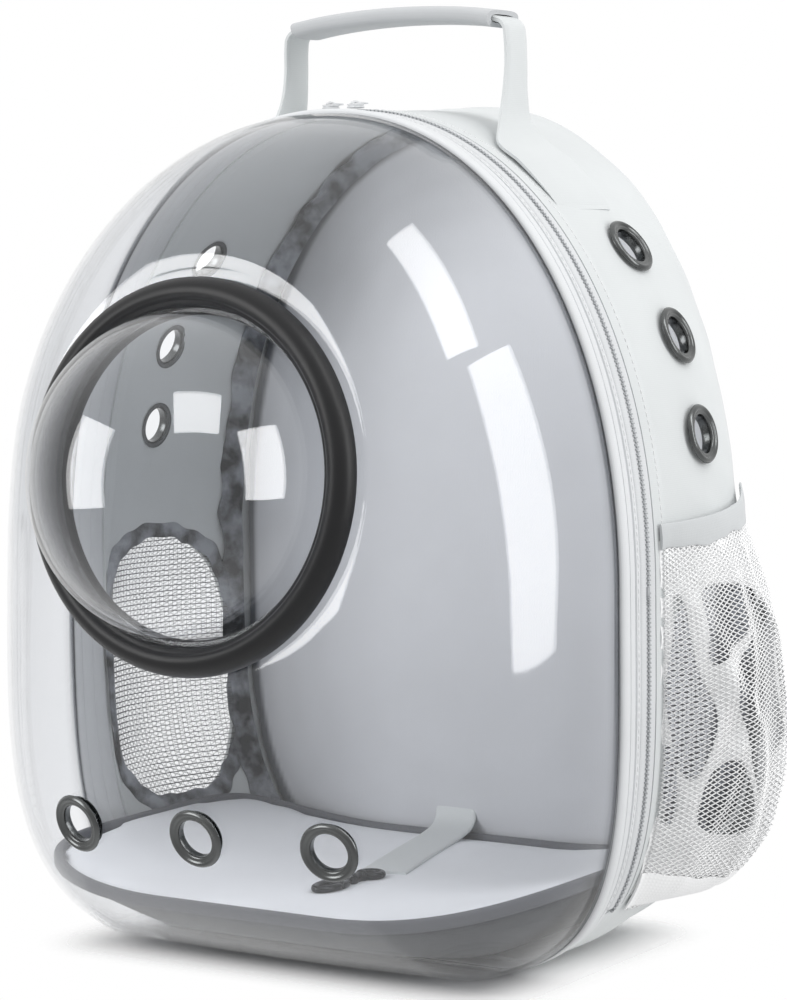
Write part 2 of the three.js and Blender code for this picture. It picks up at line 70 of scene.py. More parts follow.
RING_Z = 247.0
RING_DEPTH = 110.7
RING_TILT = math.tan(math.radians(5.7))
SHELL = {"thick": 2.0, "hole_r": 84.0, "seat_r": 97.0, "side": 1.68, "crown": 1.77, "foot": 2.65}
BUBBLE = {"radius": 79.5, "height": 73.0, "thick": 2.0, "base_h": 1.8}
EYELET_HOLE_R = 10.8
EYELET_SIDES = 56
RING_SIDES = 144
NET_LIFT = -4.9
CROSS_THREAD = {"radius": 1.15, "width": 0.2}
UP_THREAD = {"radius": 0.08, "width": 1.0}
POCKET_THREAD = {"radius": 0.52, "width": 0.55}

FRONT_EYELETS = {"front_1": (-74, 76), "front_2": (0, 76), "front_3": (74, 76)}
SIDE_EYELETS = {
    "right_1": (76, 352),
    "right_2": (81, 308),
    "right_3": (79, 260),
    "left_1": (78, 350),
    "left_2": (73, 303),
    "left_3": (74.5, 259),
}

WINDOW = {"depth": 83.0, "z": 123.0, "half_depth": 48.0, "half_height": 73.0, "power": 2.6, "lap": 4.0}

POCKET = {"front": 32.0, "back": 139.0, "foot_z": 31.0, "front_mouth_z": 219.0, "back_mouth_z": 231.0}
POCKET_SWELL = {
    "z": [31, 40, 53, 70, 98, 130, 168, 206, 236],
    "out": [2, 17, 25, 31, 33, 31, 25, 17, 8],
}

# How far the soft sides are pushed out behind their pockets
BELLY_ROWS = {
    "depth": [30, 42, 60, 70, 90, 100, 116, 128, 140],
    "right": [0, 1, 3.5, 5, 10, 13, 17, 12, 0],
    "left": [0, 8, 10, 9, 6, 4, 1, 0, 0],
}
BELLY_HEIGHT = {"z": [28, 80, 165, 232], "share": [0, 1, 1, 0]}

rng = np.random.default_rng(11)


# Surfaces
def bent(value, power):
    return np.sign(value) * np.abs(value) ** power


def full_turn(count):
    return np.linspace(0, 2 * np.pi, count, endpoint=False)


def ramp(value, start, end):
    """A share that runs from 0 at the start to 1 at the end."""
    return np.clip((value - start) / (end - start), 0, 1)


def eased(rows, by, reach):
    """A table at every millimetre, with the corners between its rows rounded over a reach."""
    places = np.arange(rows[by][0], rows[by][-1] + 1.0)
    kernel = np.hanning(2 * reach + 3)[1:-1]
    kernel /= kernel.sum()
    table = {by: places}
    for column, values in rows.items():
        if column != by:
            line = np.interp(places, rows[by], values)
            longer = np.pad(line, reach, mode="reflect", reflect_type="odd")
            table[column] = np.convolve(longer, kernel, mode="valid")
    return table


SWELL = eased(SWELL_ROWS, "depth", 12)
POCKET_OUT = eased(POCKET_SWELL, "z", 7)
BELLY = eased(BELLY_ROWS, "depth", 6)


def swell_at(depth):
    return [np.interp(depth, SWELL["depth"], SWELL[column]) for column in ("side", "top", "foot_power")]


def arch(angle, half_width, height, foot_power):
    """The outline seen from the front, widest at the waist and cut flat where it stands."""
    across = np.cos(angle)
    up = np.sin(angle)
    power = np.where(up > 0, CROWN_POWER, foot_power)
    reach = np.where(up > 0, height - WAIST_Z, WAIST_Z * FOOT_REACH)
    return half_width * bent(across, 2 / power), np.maximum(WAIST_Z + reach * bent(up, 2 / power), 0)


def body_surface(angle, depth):
    angle, depth = np.broadcast_arrays(angle, np.asarray(depth, float))
    side, top, foot_power = swell_at(depth)
    x, z = arch(angle, HALF_WIDTH + side, HEIGHT + top, foot_power)
    return np.stack([x, SEAM_Y + depth, z], axis=-1)


def angle_at(z, depth):
    """The angle on the right side of the body that lies at a height."""
    _, top, foot_power = swell_at(depth)
    rise = np.asarray(z, float) - WAIST_Z
    reach = np.where(rise > 0, HEIGHT + top - WAIST_Z, WAIST_Z * FOOT_REACH)
    power = np.where(rise > 0, CROWN_POWER, foot_power)
    return np.arcsin(np.clip(bent(np.abs(rise) / reach, power / 2) * np.sign(rise), -1, 1))


def shell_surface(angle, stop):
    """The moulded shell: stop 0 is the edge of its hole, 1 the outer edge of the flat seat, 2 the seam."""
    angle, stop = np.broadcast_arrays(angle, np.asarray(stop, float))
    edge_x, edge_z = arch(angle, HALF_WIDTH, HEIGHT, SWELL_ROWS["foot_power"][0])
    reach = np.hypot(edge_x, edge_z - RING_Z)
    dx = edge_x / reach
    dz = (edge_z - RING_Z) / reach
    seat_r = SHELL["hole_r"] + (SHELL["seat_r"] - SHELL["hole_r"]) * np.minimum(stop, 1)
    turn = (2 - np.maximum(stop, 1)) * np.pi / 2
    low = np.maximum(0, -dz) ** 2
    high = np.maximum(0, dz)
    power = SHELL["side"] + (SHELL["foot"] - SHELL["side"]) * low + (SHELL["crown"] - SHELL["side"]) * high
    flare = (reach - SHELL["seat_r"]) * np.maximum(0, np.cos(turn)) ** (2 / power)
    r = seat_r + np.where(stop > 1, flare, 0)
    seat_depth = RING_DEPTH - RING_TILT * seat_r * dz
    depth = np.where(stop > 1, seat_depth * bent(np.sin(turn), 2 / power), seat_depth)
    return np.stack([r * dx, SEAM_Y - depth, RING_Z + r * dz], axis=-1)


def belly(side, depth, z):
    share = np.interp(z, BELLY_HEIGHT["z"], BELLY_HEIGHT["share"])
    return np.interp(depth, BELLY["depth"], BELLY[side], left=0, right=0) * share**2 * (3 - 2 * share)


def bulged(points):
    """Points of the body with those of its sides pushed out."""
    x, depth, z = points[..., 0], points[..., 1] - SEAM_Y, points[..., 2]
    right_out = np.where(x > SIDE_X, belly("right", depth, z), 0)
    left_out = np.where(x < -SIDE_X, belly("left", depth, z), 0)
    return points + (right_out - left_out)[..., None] * [1, 0, 0]


def unit(vectors):
    return vectors / np.maximum(np.linalg.norm(vectors, axis=-1, keepdims=True), 1e-9)


def normal_of(surface, a, b):
    step = 0.004
    back = surface(a, b + step) - surface(a, b - step)
    around = surface(a + step, b) - surface(a - step, b)
    return unit(np.cross(back, around))


def lifted(surface, a, b, lift):
    """Points off a surface along its outward normal. Nothing stands out below the base."""
    a, b, lift = np.broadcast_arrays(a, np.asarray(b, float), np.asarray(lift, float))
    points = surface(a, b)
    clear = np.where(lift > 0, np.minimum(1, points[..., 2] / SOFT_FLOOR_Z), 1)
    return points + normal_of(surface, a, b) * (lift * clear)[..., None]


def even_angles(count):
    """Angles that divide the seam outline evenly, starting from the middle of the base."""
    fine = np.linspace(-np.pi / 2, 1.5 * np.pi, 4001)
    steps = np.linalg.norm(np.diff(body_surface(fine, 0), axis=0), axis=1)
    walk = np.concatenate([[0], np.cumsum(steps)])
    return np.interp(np.linspace(0, walk[-1], count, endpoint=False), walk, fine)


RIPPLE_WAVES = 7


def ripple(points, size):
    """A soft, uneven wave over space, about -1 to 1, whose humps are about a size across."""
    directions = unit(rng.normal(size=(RIPPLE_WAVES, 3)))
    phases = rng.uniform(0, 2 * np.pi, RIPPLE_WAVES)
    lengths = size * rng.uniform(1.2, 2.6, RIPPLE_WAVES)
    waves = np.sin(points @ (directions / lengths[:, None]).T * 2 * np.pi + phases)
    return waves.sum(axis=-1) / math.sqrt(RIPPLE_WAVES)


def rounded(section, times=2):
    """A closed section with its corners cut again and again until they are round."""
    corners = np.asarray(section, float)
    for _ in range(times):
        after = np.roll(corners, -1, axis=0)
        corners = np.stack([0.75 * corners + 0.25 * after, 0.25 * corners + 0.75 * after], axis=1)
        corners = corners.reshape(-1, corners.shape[-1])
    return corners


def through(rows, steps):
    """A smooth run through rows of points, with that many steps between each two."""
    rows = np.asarray(rows, float)
    ends = np.concatenate([[2 * rows[0] - rows[1]], rows, [2 * rows[-1] - rows[-2]]])
    share = np.linspace(0, 1, steps, endpoint=False).reshape((-1,) + (1,) * (rows.ndim - 1))
    runs = []
    for i in range(1, len(rows)):
        a, b, c, d = ends[i - 1 : i + 3]
        bend = (2 * a - 5 * b + 4 * c - d) * share**2 + (3 * b - a - 3 * c + d) * share**3
        runs.append(0.5 * (2 * b + (c - a) * share + bend))
    return np.concatenate(runs + [rows[-1:]])


def at(x, depth, z):
    return np.array([x, SEAM_Y + depth, z], float)


# Meshes
def add_object(name, points, faces, uv=None):
    mesh = bpy.data.meshes.new(name)
    places = np.asarray(points).reshape(-1, 3) * MM
    mesh.from_pydata(places.tolist(), [], [list(map(int, face)) for face in faces])
    if uv is not None:
        mesh.uv_layers.new(name="weave").data.foreach_set("uv", (np.asarray(uv) * MM).ravel())
    mesh.polygons.foreach_set("use_smooth", [True] * len(mesh.polygons))
    obj = bpy.data.objects.new(name, mesh)
    bpy.context.scene.collection.objects.link(obj)
    return obj


def grid_faces(points, wrap_rows=False, wrap_columns=False):
    """The quads of a grid of points, and each corner's place on the flat cloth."""
    rows, columns = points.shape[:2]
    i = np.arange(rows if wrap_rows else rows - 1)[:, None]
    j = np.arange(columns if wrap_columns else columns - 1)[None, :]
    down = np.linalg.norm(np.roll(points, -1, axis=0) - points, axis=-1).mean(axis=1)
    along = np.linalg.norm(np.roll(points, -1, axis=1) - points, axis=-1).mean(axis=0)
    walk_down = np.concatenate([[0], np.cumsum(down)])
    walk_along = np.concatenate([[0], np.cumsum(along)])
    corners = [(0, 0), (1, 0), (1, 1), (0, 1)]
    faces = [((i + di) % rows) * columns + (j + dj) % columns for di, dj in corners]
    uv = [np.stack(np.broadcast_arrays(walk_down[i + di], walk_along[j + dj]), -1) for di, dj in corners]
    return np.stack(faces, -1).reshape(-1, 4), np.stack(uv, -2).reshape(-1, 4, 2)


def face_out(obj):
    edit = bmesh.new()
    edit.from_mesh(obj.data)
    bmesh.ops.recalc_face_normals(edit, faces=edit.faces)
    edit.to_mesh(obj.data)
    edit.free()


def sharpen(obj, degrees=50):
    obj.data.set_sharp_from_angle(angle=math.radians(degrees))


def lofted(name, loops, closed=False):
    """A solid through loops of points. A closed run joins its ends; an open one is capped."""
    faces, uv = grid_faces(loops, wrap_rows=closed, wrap_columns=True)
    rows, columns = loops.shape[:2]
    faces = faces.tolist()
    uv = uv.reshape(-1, 2)
    if not closed:
        first = list(range(columns))
        faces += [first, [(rows - 1) * columns + k for k in first]]
        uv = np.concatenate([uv, np.zeros((2 * columns, 2))])
    obj = add_object(name, loops, faces, uv)
    face_out(obj)
    sharpen(obj)
    return obj


def turned(name, section, segments, place, axis):
    """A section of radii and heights turned about an axis through a place."""
    turns = full_turn(segments)[:, None]
    r, h = np.asarray(section).T
    loops = np.stack(np.broadcast_arrays(r * np.cos(turns), r * np.sin(turns), h), axis=-1)
    rotation = np.array(Vector((0, 0, 1)).rotation_difference(Vector(axis)).to_matrix())
    return lofted(name, loops @ rotation.T + place, closed=True)


def swept(name, path, across, section):
    """A section of (across, up) carried along a path."""
    along = unit(np.gradient(path, axis=0))
    side = unit(across - along * (along @ across)[:, None])
    up = np.cross(along, side)
    u, v = np.asarray(section).T
    return lofted(name, path[:, None] + side[:, None] * u[None, :, None] + up[:, None] * v[None, :, None])


FLAT_CORNERS = [(-1, -1), (-0.5, -1), (0, -1), (0.5, -1), (1, -1)]
FLAT_CORNERS += [(-across, -up) for across, up in FLAT_CORNERS]


def flat_section(width, thick):
    return rounded(np.array(FLAT_CORNERS) * [width / 2, thick / 2])


def tubes(name, lines, ups, radii, sides=4, widths=1.0):
    """Threads: one thin tube along each line, turned so that its sides face away from the cloth. A width
    under 1 makes it narrower than it is high."""
    points, faces = [], []
    turns = full_turn(sides) + np.pi / 4
    radii = np.broadcast_to(radii, len(lines))
    widths = np.broadcast_to(widths, len(lines))
    start = 0
    for line, up, radius, width in zip(lines, ups, radii, widths):
        along = unit(np.gradient(line, axis=0))
        side = unit(np.cross(along, up))
        top = np.cross(side, along)
        ring = width * np.cos(turns)[:, None] * side[:, None] + np.sin(turns)[:, None] * top[:, None]
        loops = line[:, None] + radius * ring
        quads, _ = grid_faces(loops, wrap_columns=True)
        points.append(loops.reshape(-1, 3))
        first = list(range(start, start + sides))
        start += len(points[-1])
        faces += (quads + first[0]).tolist() + [first, list(range(start - sides, start))]
    obj = add_object(name, np.concatenate(points), faces)
    face_out(obj)
    return obj


def stitches(name, points, ups, length, radius):
    """A row of stitches that lie along a line of points, each a thread end to end with its neighbours."""
    middle = 0.5 * (points[1:] + points[:-1])
    along = unit(points[1:] - points[:-1])
    up = unit(ups[1:] + ups[:-1])
    lines = []
    for centre, direction, rise in zip(middle, along, up):
        shares = np.array([-0.5, -0.36, 0, 0.36, 0.5])
        arc = np.array([-0.9, 0.3, 0.6, 0.3, -0.9]) * radius
        lines.append(centre + np.outer(shares * length, direction) + np.outer(arc, rise))
    return tubes(name, lines, [np.tile(rise, (5, 1)) for rise in up], radius, 5)


def apply_modifiers(obj):
    depsgraph = bpy.context.evaluated_depsgraph_get()
    mesh = bpy.data.meshes.new_from_object(obj.evaluated_get(depsgraph))
    obj.modifiers.clear()
    obj.data = mesh


def thicken(obj, thick):
    """Gives an open sheet its thickness inwards. The inside takes the next material."""
    solidify = obj.modifiers.new("thickness", "SOLIDIFY")
    solidify.thickness = thick * MM
    solidify.offset = -1
    solidify.use_quality_normals = True
    solidify.material_offset = 1
    apply_modifiers(obj)


def mark_border(obj, share):
    """Marks how far each point of a piece belongs to its border, from 0 to 1. On some pieces the mark also
    holds painted shade.
    """
    points = np.empty(len(obj.data.vertices) * 3)
    obj.data.vertices.foreach_get("co", points)
    border = obj.data.attributes.new("border", "FLOAT", "POINT")
    border.data.foreach_set("value", share(points.reshape(-1, 3) / MM))


def edge_of_hole(faces, share):
    """Which faces stay round a hole whose edge has share 1, and the points left on its edge."""
    gone = share[faces].mean(axis=1) < 1
    return ~gone, np.intersect1d(faces[gone], faces[~gone])


def round_hole(points, faces, centre, axis, radius):
    """Opens a round hole in a sheet and draws the points round it on to its edge."""
    from_centre = points - centre
    height = from_centre @ axis
    flat = from_centre - np.outer(height, axis)
    distance = np.where(np.abs(height) < 3 * radius, np.linalg.norm(flat, axis=1), np.inf)
    keep, rim = edge_of_hole(faces, distance / radius)
    points[rim] += flat[rim] * (radius / distance[rim] - 1)[:, None]
    return keep


# Materials
class Shader:
    """A node tree: each call adds a node, with values or other nodes' outputs on its sockets."""

    def __init__(self, owner):
        owner.use_nodes = True
        self.owner = owner
        self.nodes = owner.node_tree.nodes
        self.links = owner.node_tree.links
        self.nodes.clear()

    def add(self, kind, sockets=None, **settings):
        node = self.nodes.new("ShaderNode" + kind)
        for setting, value in settings.items():
            setattr(node, setting, value)
        for socket, value in (sockets or {}).items():
            if isinstance(value, bpy.types.NodeSocket):
                self.links.new(value, node.inputs[socket])
            else:
                node.inputs[socket].default_value = value
        return node

    def finish(self, surface, output="OutputMaterial"):
        self.add(output, {"Surface": surface})
        return self.owner

    def math(self, operation, *values, kind="Math", result=0):
        return self.add(kind, dict(enumerate(values)), operation=operation).outputs[result]

    def vector(self, operation, *values, result=0):
        return self.math(operation, *values, kind="VectorMath", result=result)

    def mix(self, share, low, high):
        return self.add("Mix", {0: share, 6: low, 7: high}, data_type="RGBA").outputs[2]

    def range(self, value, low, high, start=0.0, end=1.0, easing="LINEAR"):
        sockets = {"Value": value, "From Min": start, "From Max": end, "To Min": low, "To Max": high}
        return self.add("MapRange", sockets, interpolation_type=easing).outputs["Result"]

    def noise(self, vector, scale, detail=4.0):
        return self.add("TexNoise", {"Vector": vector, "Scale": scale, "Detail": detail}).outputs["Fac"]

    def bump(self, height, distance, strength=1.0, normal=None):
        sockets = {"Height": height, "Distance": distance, "Strength": strength}
        if normal is not None:
            sockets["Normal"] = normal
        return self.add("Bump", sockets).outputs["Normal"]


# The scale at which a wave texture has one band to the metre
WAVE_SCALE = 0.314


def new_shader(name):
    return Shader(bpy.data.materials.new(name))


def shade(colour, share):
    return [channel * share for channel in colour[:3]] + [1]


def cloth(name, colour, thread, coordinates="UV", rough=(0.6, 0.8), weave=0.35, creases=0.0, edge=None,
          tones=(0.93, 1.05), patch_scale=22.0, patch_spread=0.5, shine=0.35):
    """Woven cloth. The thread is the width of one crossing, in millimetres. An edge colour shows where the
    piece is marked as border; on some pieces that colour is painted shade."""
    s = new_shader(name)
    place = s.add("TexCoord").outputs[coordinates]
    where = s.add("TexCoord").outputs["Object"]
    scale = WAVE_SCALE / (2 * thread * MM)
    warp = s.add("TexWave", {"Vector": place, "Scale": scale}, bands_direction="X").outputs["Fac"]
    weft = s.add("TexWave", {"Vector": place, "Scale": scale}, bands_direction="Y").outputs["Fac"]
    crossing = s.math("MULTIPLY", warp, weft)
    patches = s.range(s.noise(where, patch_scale), 0.0, 1.0, 0.5 - patch_spread, 0.5 + patch_spread)
    fibres = s.noise(where, 900.0, 2.0)
    mixed = s.mix(patches, shade(colour, tones[0]), shade(colour, tones[1]))
    if edge:
        border = s.add("Attribute", attribute_name="border").outputs["Fac"]
        mixed = s.mix(border, mixed, shade(edge, 1.0))
    final = s.mix(s.range(crossing, 0.12, 0.0), mixed, shade(colour, 0.6))
    normal = s.bump(crossing, 0.1 * MM, weave)
    normal = s.bump(fibres, 0.12 * MM, 0.3, normal)
    if creases:
        normal = s.bump(s.noise(where, 34.0, 3.0), creases * MM, 1.0, normal)
    sockets = {"Base Color": final, "Normal": normal, "Roughness": s.range(patches, *rough)}
    sockets.update({"Sheen Weight": 0.15, "Sheen Roughness": 0.5, "Specular IOR Level": shine})
    return s.finish(s.add("BsdfPrincipled", sockets).outputs[0])


def clear_plastic(name, tint, gloss):
    """A thin clear wall: what shows through it is tinted, and its gloss grows towards its edges. Where the
    piece is marked as border the tint is darker: a painted dark line for the shade and dark reflection at
    the rim."""
    s = new_shader(name)
    where = s.add("TexCoord").outputs["Object"]
    smears = s.noise(where, 12.0, 1.0)
    normal = s.bump(s.noise(where, 9.0, 1.0), 0.5 * MM, 0.5)
    facing = s.add("LayerWeight", {"Blend": 0.5, "Normal": normal}).outputs["Facing"]
    steep = s.math("POWER", facing, 5.0)
    gloss_sockets = {"Color": (1, 1, 1, 1), "Normal": normal, "Roughness": s.range(smears, *gloss)}
    shine = s.add("BsdfGlossy", gloss_sockets).outputs[0]
    border = s.add("Attribute", attribute_name="border").outputs["Fac"]
    # Painted shade and reflection: at the border the see-through tint turns dark grey.
    through_it = s.add("BsdfTransparent", {"Color": s.mix(border, tint, (0.3, 0.31, 0.33, 1))}).outputs[0]
    return s.finish(s.add("MixShader", {0: s.range(steep, 0.05, 0.9), 1: through_it, 2: shine}).outputs[0])


def solid_stuff(name, colour, rough, grain, metallic=0.0, specular=0.5, milky=0.0):
    """Rubber, metal, thread or moulded plastic: a fine grain, with worn patches. Milky stuff lets light
    through."""
    s = new_shader(name)
    where = s.add("TexCoord").outputs["Object"]
    patches = s.noise(where, 60.0, 5.0)
    specks = s.noise(where, 600.0, 3.0)
    sockets = {"Base Color": s.mix(patches, shade(colour, 0.82), shade(colour, 1.15))}
    sockets["Roughness"] = s.range(patches, *rough)
    sockets["Normal"] = s.bump(specks, grain * MM, 0.5)
    sockets.update({"Metallic": metallic, "Specular IOR Level": specular})
    sockets.update({"Subsurface Weight": milky, "Subsurface Radius": (1, 1, 1), "Subsurface Scale": MM})
    return s.finish(s.add("BsdfPrincipled", sockets).outputs[0])


WHITE = (0.7, 0.725, 0.73)
# Dark colour for the edges of the lining and the back panel: partly dark seams, partly painted shade in the
# corners at the back.
DARK_SEAM_AND_SHADE = (0.13, 0.14, 0.16)
clear_shell = clear_plastic("clear_shell", (0.963, 0.967, 0.974, 1), (0.0, 0.05))
clear_bubble = clear_plastic("clear_bubble", (0.958, 0.964, 0.974, 1), (0.0, 0.04))
black_rubber = solid_stuff("black_rubber", (0.013, 0.013, 0.014), (0.34, 0.46), 0.1, specular=0.32)
dark_metal = solid_stuff("dark_metal", (0.14, 0.145, 0.145), (0.16, 0.34), 0.04, metallic=1.0)
black_metal = solid_stuff("black_metal", (0.05, 0.052, 0.055), (0.2, 0.34), 0.04, metallic=1.0)
pale_metal = solid_stuff("pale_metal", (0.68, 0.69, 0.7), (0.25, 0.4), 0.04)
white_cloth = cloth("white_cloth", WHITE, 0.5, creases=0.5)
white_binding = cloth("white_binding", (0.74, 0.755, 0.77), 0.45, weave=0.25)
hem_cloth = cloth("hem_cloth", (0.6, 0.62, 0.63), 0.6, weave=0.5, creases=1.2)
net_fold = cloth("net_fold", (0.93, 0.935, 0.94), 1.1, weave=0.9, creases=0.8)
zip_tape = cloth("zip_tape", (0.7, 0.715, 0.73), 0.6)
zip_teeth_stuff = solid_stuff("zip_teeth", (0.4, 0.415, 0.43), (0.3, 0.45), 0.05)
white_net = solid_stuff("white_net", (0.9, 0.905, 0.91), (0.5, 0.7), 0.05, milky=0.8)
dark_net = solid_stuff("dark_net", (0.13, 0.133, 0.14), (0.5, 0.7), 0.05)
grey_lining = cloth("grey_lining", (0.46, 0.47, 0.495), 0.5, creases=0.8, edge=DARK_SEAM_AND_SHADE)
panel_look = {"rough": (0.34, 0.48), "creases": 0.3, "edge": DARK_SEAM_AND_SHADE, "shine": 0.7}
panel_cloth = cloth("panel_cloth", (0.79, 0.8, 0.83), 0.5, coordinates="Object", **panel_look)
# The dark tape's strong light and dark patches are painted light and shade for the wrinkles in it.
tape_painted_folds_look = {"creases": 2.2, "tones": (0.1, 2.0), "patch_scale": 60.0, "patch_spread": 0.12}
dark_tape_painted_folds = cloth("dark_tape_painted_folds", (0.19, 0.2, 0.22), 0.5, **tape_painted_folds_look)
pad_cloth = cloth("pad_cloth", (0.9, 0.915, 0.95), 0.6, coordinates="Object", creases=0.4)
# The pad's near-black underside: partly a dark side band, mostly painted shade under the pad.
pad_underside_painted_shade = cloth("pad_underside_painted_shade", (0.045, 0.05, 0.058), 0.6, coordinates="Object", creases=0.5)
pad_binding = cloth("pad_binding", (0.13, 0.135, 0.15), 0.6)
white_webbing = cloth("white_webbing", WHITE, 0.8, weave=0.6)
strap_padding = cloth("strap_padding", (0.7, 0.72, 0.74), 0.9, coordinates="Object", weave=0.8, creases=0.5)
# The handle's grip is white cloth painted grey: painted shade on its front face.
grip_cloth_painted_shade = cloth("grip_cloth_painted_shade", (0.56, 0.575, 0.59), 0.6, creases=0.6)
sewing_thread = solid_stuff("sewing_thread", (0.8, 0.81, 0.82), (0.5, 0.7), 0.03)
grey_plastic = solid_stuff("grey_plastic", (0.33, 0.34, 0.36), (0.35, 0.5), 0.06)


def dress(obj, slot, *materials, replaces=()):
    """Gives a piece its materials and its place on the body, and hides the plain solids it stands for."""
    obj.data.materials.clear()
    for material in materials:
        obj.data.materials.append(material)
    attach(obj, "root")
    if replaces:
        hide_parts(*replaces)
    return obj


# Camera
EYE = Vector((859.5, -1315.3, 349.3)) * MM
TARGET = Vector((39.63, -73.0, 229.3)) * MM
ROLL = math.radians(-0.8)
PIXELS_HIGH = 1000
FOCAL_PIXELS = 3030.5
SENSOR = 36.0

forward = (TARGET - EYE).normalized()
level = forward.cross(Vector((0, 0, 1))).normalized()
upright = level.cross(forward)
right = level * math.cos(ROLL) + upright * math.sin(ROLL)
up = upright * math.cos(ROLL) - level * math.sin(ROLL)
camera = bpy.data.objects.new("camera", bpy.data.cameras.new("camera"))
camera.data.sensor_width = SENSOR
camera.data.lens = FOCAL_PIXELS / PIXELS_HIGH * SENSOR
camera.data.clip_end = 50
camera.matrix_world = Matrix.Translation(EYE) @ Matrix((right, up, -forward)).transposed().to_4x4()
bpy.context.scene.collection.objects.link(camera)
bpy.context.scene.camera = camera

# Eyelets
around = even_angles(count=384)


def find_on_shell(x, z):
    """The angle and stop of the shell that show at a place seen from the front."""
    angles = np.linspace(-np.pi / 2 - 1.2, -np.pi / 2 + 1.2, 601)[:, None]
    stops = np.linspace(1.05, 1.95, 451)[None, :]
    points = shell_surface(angles, stops)
    i, j = np.unravel_index(np.argmin(np.hypot(points[..., 0] - x, points[..., 2] - z)), points.shape[:2])
    return angles[i, 0], stops[0, j]


def eyelet_section(wall):
    inner = -wall - 0.9
    back = [(9.3, inner - 0.8), (12.6, inner - 0.8), (12.6, inner - 0.1), (10.2, inner + 0.2), (10.2, 0.4)]
    front = [(14.9, 0.4), (14.8, 1.5), (13.6, 2.8), (12.2, 2.6), (11.5, 1.9), (10.8, 2.1), (9.3, 1.4)]
    return rounded(back + front, times=3)


shell_holes = {}
for name, (x, z) in FRONT_EYELETS.items():
    angle, stop = find_on_shell(x, z)
    shell_holes[name] = (shell_surface(angle, stop), normal_of(shell_surface, angle, stop))
body_holes = {}
for name, (depth, z) in SIDE_EYELETS.items():
    angle = angle_at(z, depth) if "right" in name else np.pi - angle_at(z, depth)
    body_holes[name] = (body_surface(angle, depth), normal_of(body_surface, angle, depth))
for holes, wall in ((shell_holes, SHELL["thick"]), (body_holes, CLOTH)):
    for name, (place, axis) in holes.items():
        ring = turned("eyelet_metal_" + name, eyelet_section(wall), EYELET_SIDES, place, axis)
        dress(ring, "dark_metal", dark_metal, replaces=["eyelet_" + name])

# Front shell, on a grid that is finer towards the seam
# Where the shell's rim is painted dark, by depth back from the seam: a dark line for the rim's dark
# reflection and the shade by the piping.
SHELL_RIM_PAINTED_DARK = {"depth": [0, 1.2, 2.2, 9], "share": [1, 1, 0.16, 0]}
seat_stops = np.linspace(0, 1, 5)[:-1]
wall_stops = 2 - np.linspace(1, 0, 64) ** 1.15
stops = np.concatenate([seat_stops, wall_stops])
shell_points = shell_surface(around[:, None], stops[None, :])
faces, uv = grid_faces(shell_points, wrap_rows=True)
points = shell_points.reshape(-1, 3)
keep = np.ones(len(faces), bool)
for place, axis in shell_holes.values():
    keep &= round_hole(points, faces, place, axis, EYELET_HOLE_R)
shell = add_object("clear_front", points, faces[keep][:, ::-1], uv[keep][:, ::-1])
thicken(shell, SHELL["thick"])
mark_border(shell, lambda p: np.interp(SEAM_Y - p[:, 1], SHELL_RIM_PAINTED_DARK["depth"], SHELL_RIM_PAINTED_DARK["share"]))
dress(shell, "clear_shell", clear_shell, replaces=["front_shell"])

# Window ring and bubble
ring_place = at(0, -RING_DEPTH, RING_Z)
ring_axis = unit(np.array([0, -1, RING_TILT]))
ring_section = [(76.5, -5), (80, -5), (83.4, -5), (83.4, 0.3), (88, 0.3), (94, 0.3), (94.2, 4), (93, 8)]
ring_section += [(90, 11), (86.5, 12), (84, 11.2), (82.8, 9.4), (81.8, 9), (80.6, 8.4), (80.2, 6.5)]
ring_section += [(80.2, 4), (80, 1.4), (76.5, 1.4)]
ring = turned("rubber_ring", rounded(ring_section), RING_SIDES, ring_place, ring_axis)
dress(ring, "black_rubber", black_rubber, replaces=["window_ring"])


def bubble_arc(radius, height):
    climb = np.linspace(0, np.pi / 2, 49)[:-1]
    arc = np.stack([radius * np.cos(climb), BUBBLE["base_h"] + height * np.sin(climb)], axis=-1)
    return np.concatenate([arc, [[0.01, BUBBLE["base_h"] + height]]])


outside = bubble_arc(BUBBLE["radius"], BUBBLE["height"])
inside = bubble_arc(BUBBLE["radius"] - BUBBLE["thick"], BUBBLE["height"] - BUBBLE["thick"])
bubble = turned("clear_dome", np.concatenate([outside, inside[::-1]]), RING_SIDES, ring_place, ring_axis)
dress(bubble, "clear_bubble", clear_bubble, replaces=["bubble_window"])


# Strips round the seam
def strip(name, section, angles, closed=True):
    stop, lift = np.asarray(section, float).T
    return lofted(name, lifted(body_surface, angles[:, None], stop[None, :], lift[None, :]), closed)


STITCH = {"pitch": 3.6, "length": 2.8}


def seam_row(name, depth, lift, radius):
    """Stitches along the strips, all the way over the arch."""
    walk = even_angles(int(SEAM_LENGTH / STITCH["pitch"]))
    walk = walk[body_surface(walk, 0)[:, 2] > ZIP_FOOT_Z]
    line = lifted(body_surface, walk, depth, lift)
    row = stitches(name, line, normal_of(body_surface, walk, depth), STITCH["length"], radius)
    return dress(row, "white_binding", sewing_thread)


piping_section = rounded([(0.3, -2.5), (0.3, 0.8), (2, 2.2), (5.2, 2.2), (7.1, 1.4), (7.1, -2.5)])
piping = strip("piping_cord", piping_section, around)
dress(piping, "white_binding", white_binding, replaces=["edge_piping"])

band_section = [(7.3, -2), (7.2, 1.2), (9, 1.5), (12, 1.3), (12.7, -1.6), (13.3, -1.6), (13.6, 0.7)]
band_section += [(15, 0.8), (17.2, 0.7), (17.2, -2)]
band = strip("band_cloth", rounded(band_section, times=1), around)
dress(band, "white_cloth", white_binding, replaces=["front_band"])
seam_row("band_stitches", depth=15.2, lift=0.75, radius=0.28)

# Zip
on_arch = around[body_surface(around, 0)[:, 2] > ZIP_FOOT_Z]
tape_section = [(17.2, -2), (17.2, 0.7), (20, 1), (23.1, 0.5), (26.3, 1), (29.2, 0.8), (29.2, -2)]
tape = strip("zip_cloth", rounded(tape_section), on_arch, closed=False)
dress(tape, "zip_tape", zip_tape, replaces=["zipper"])


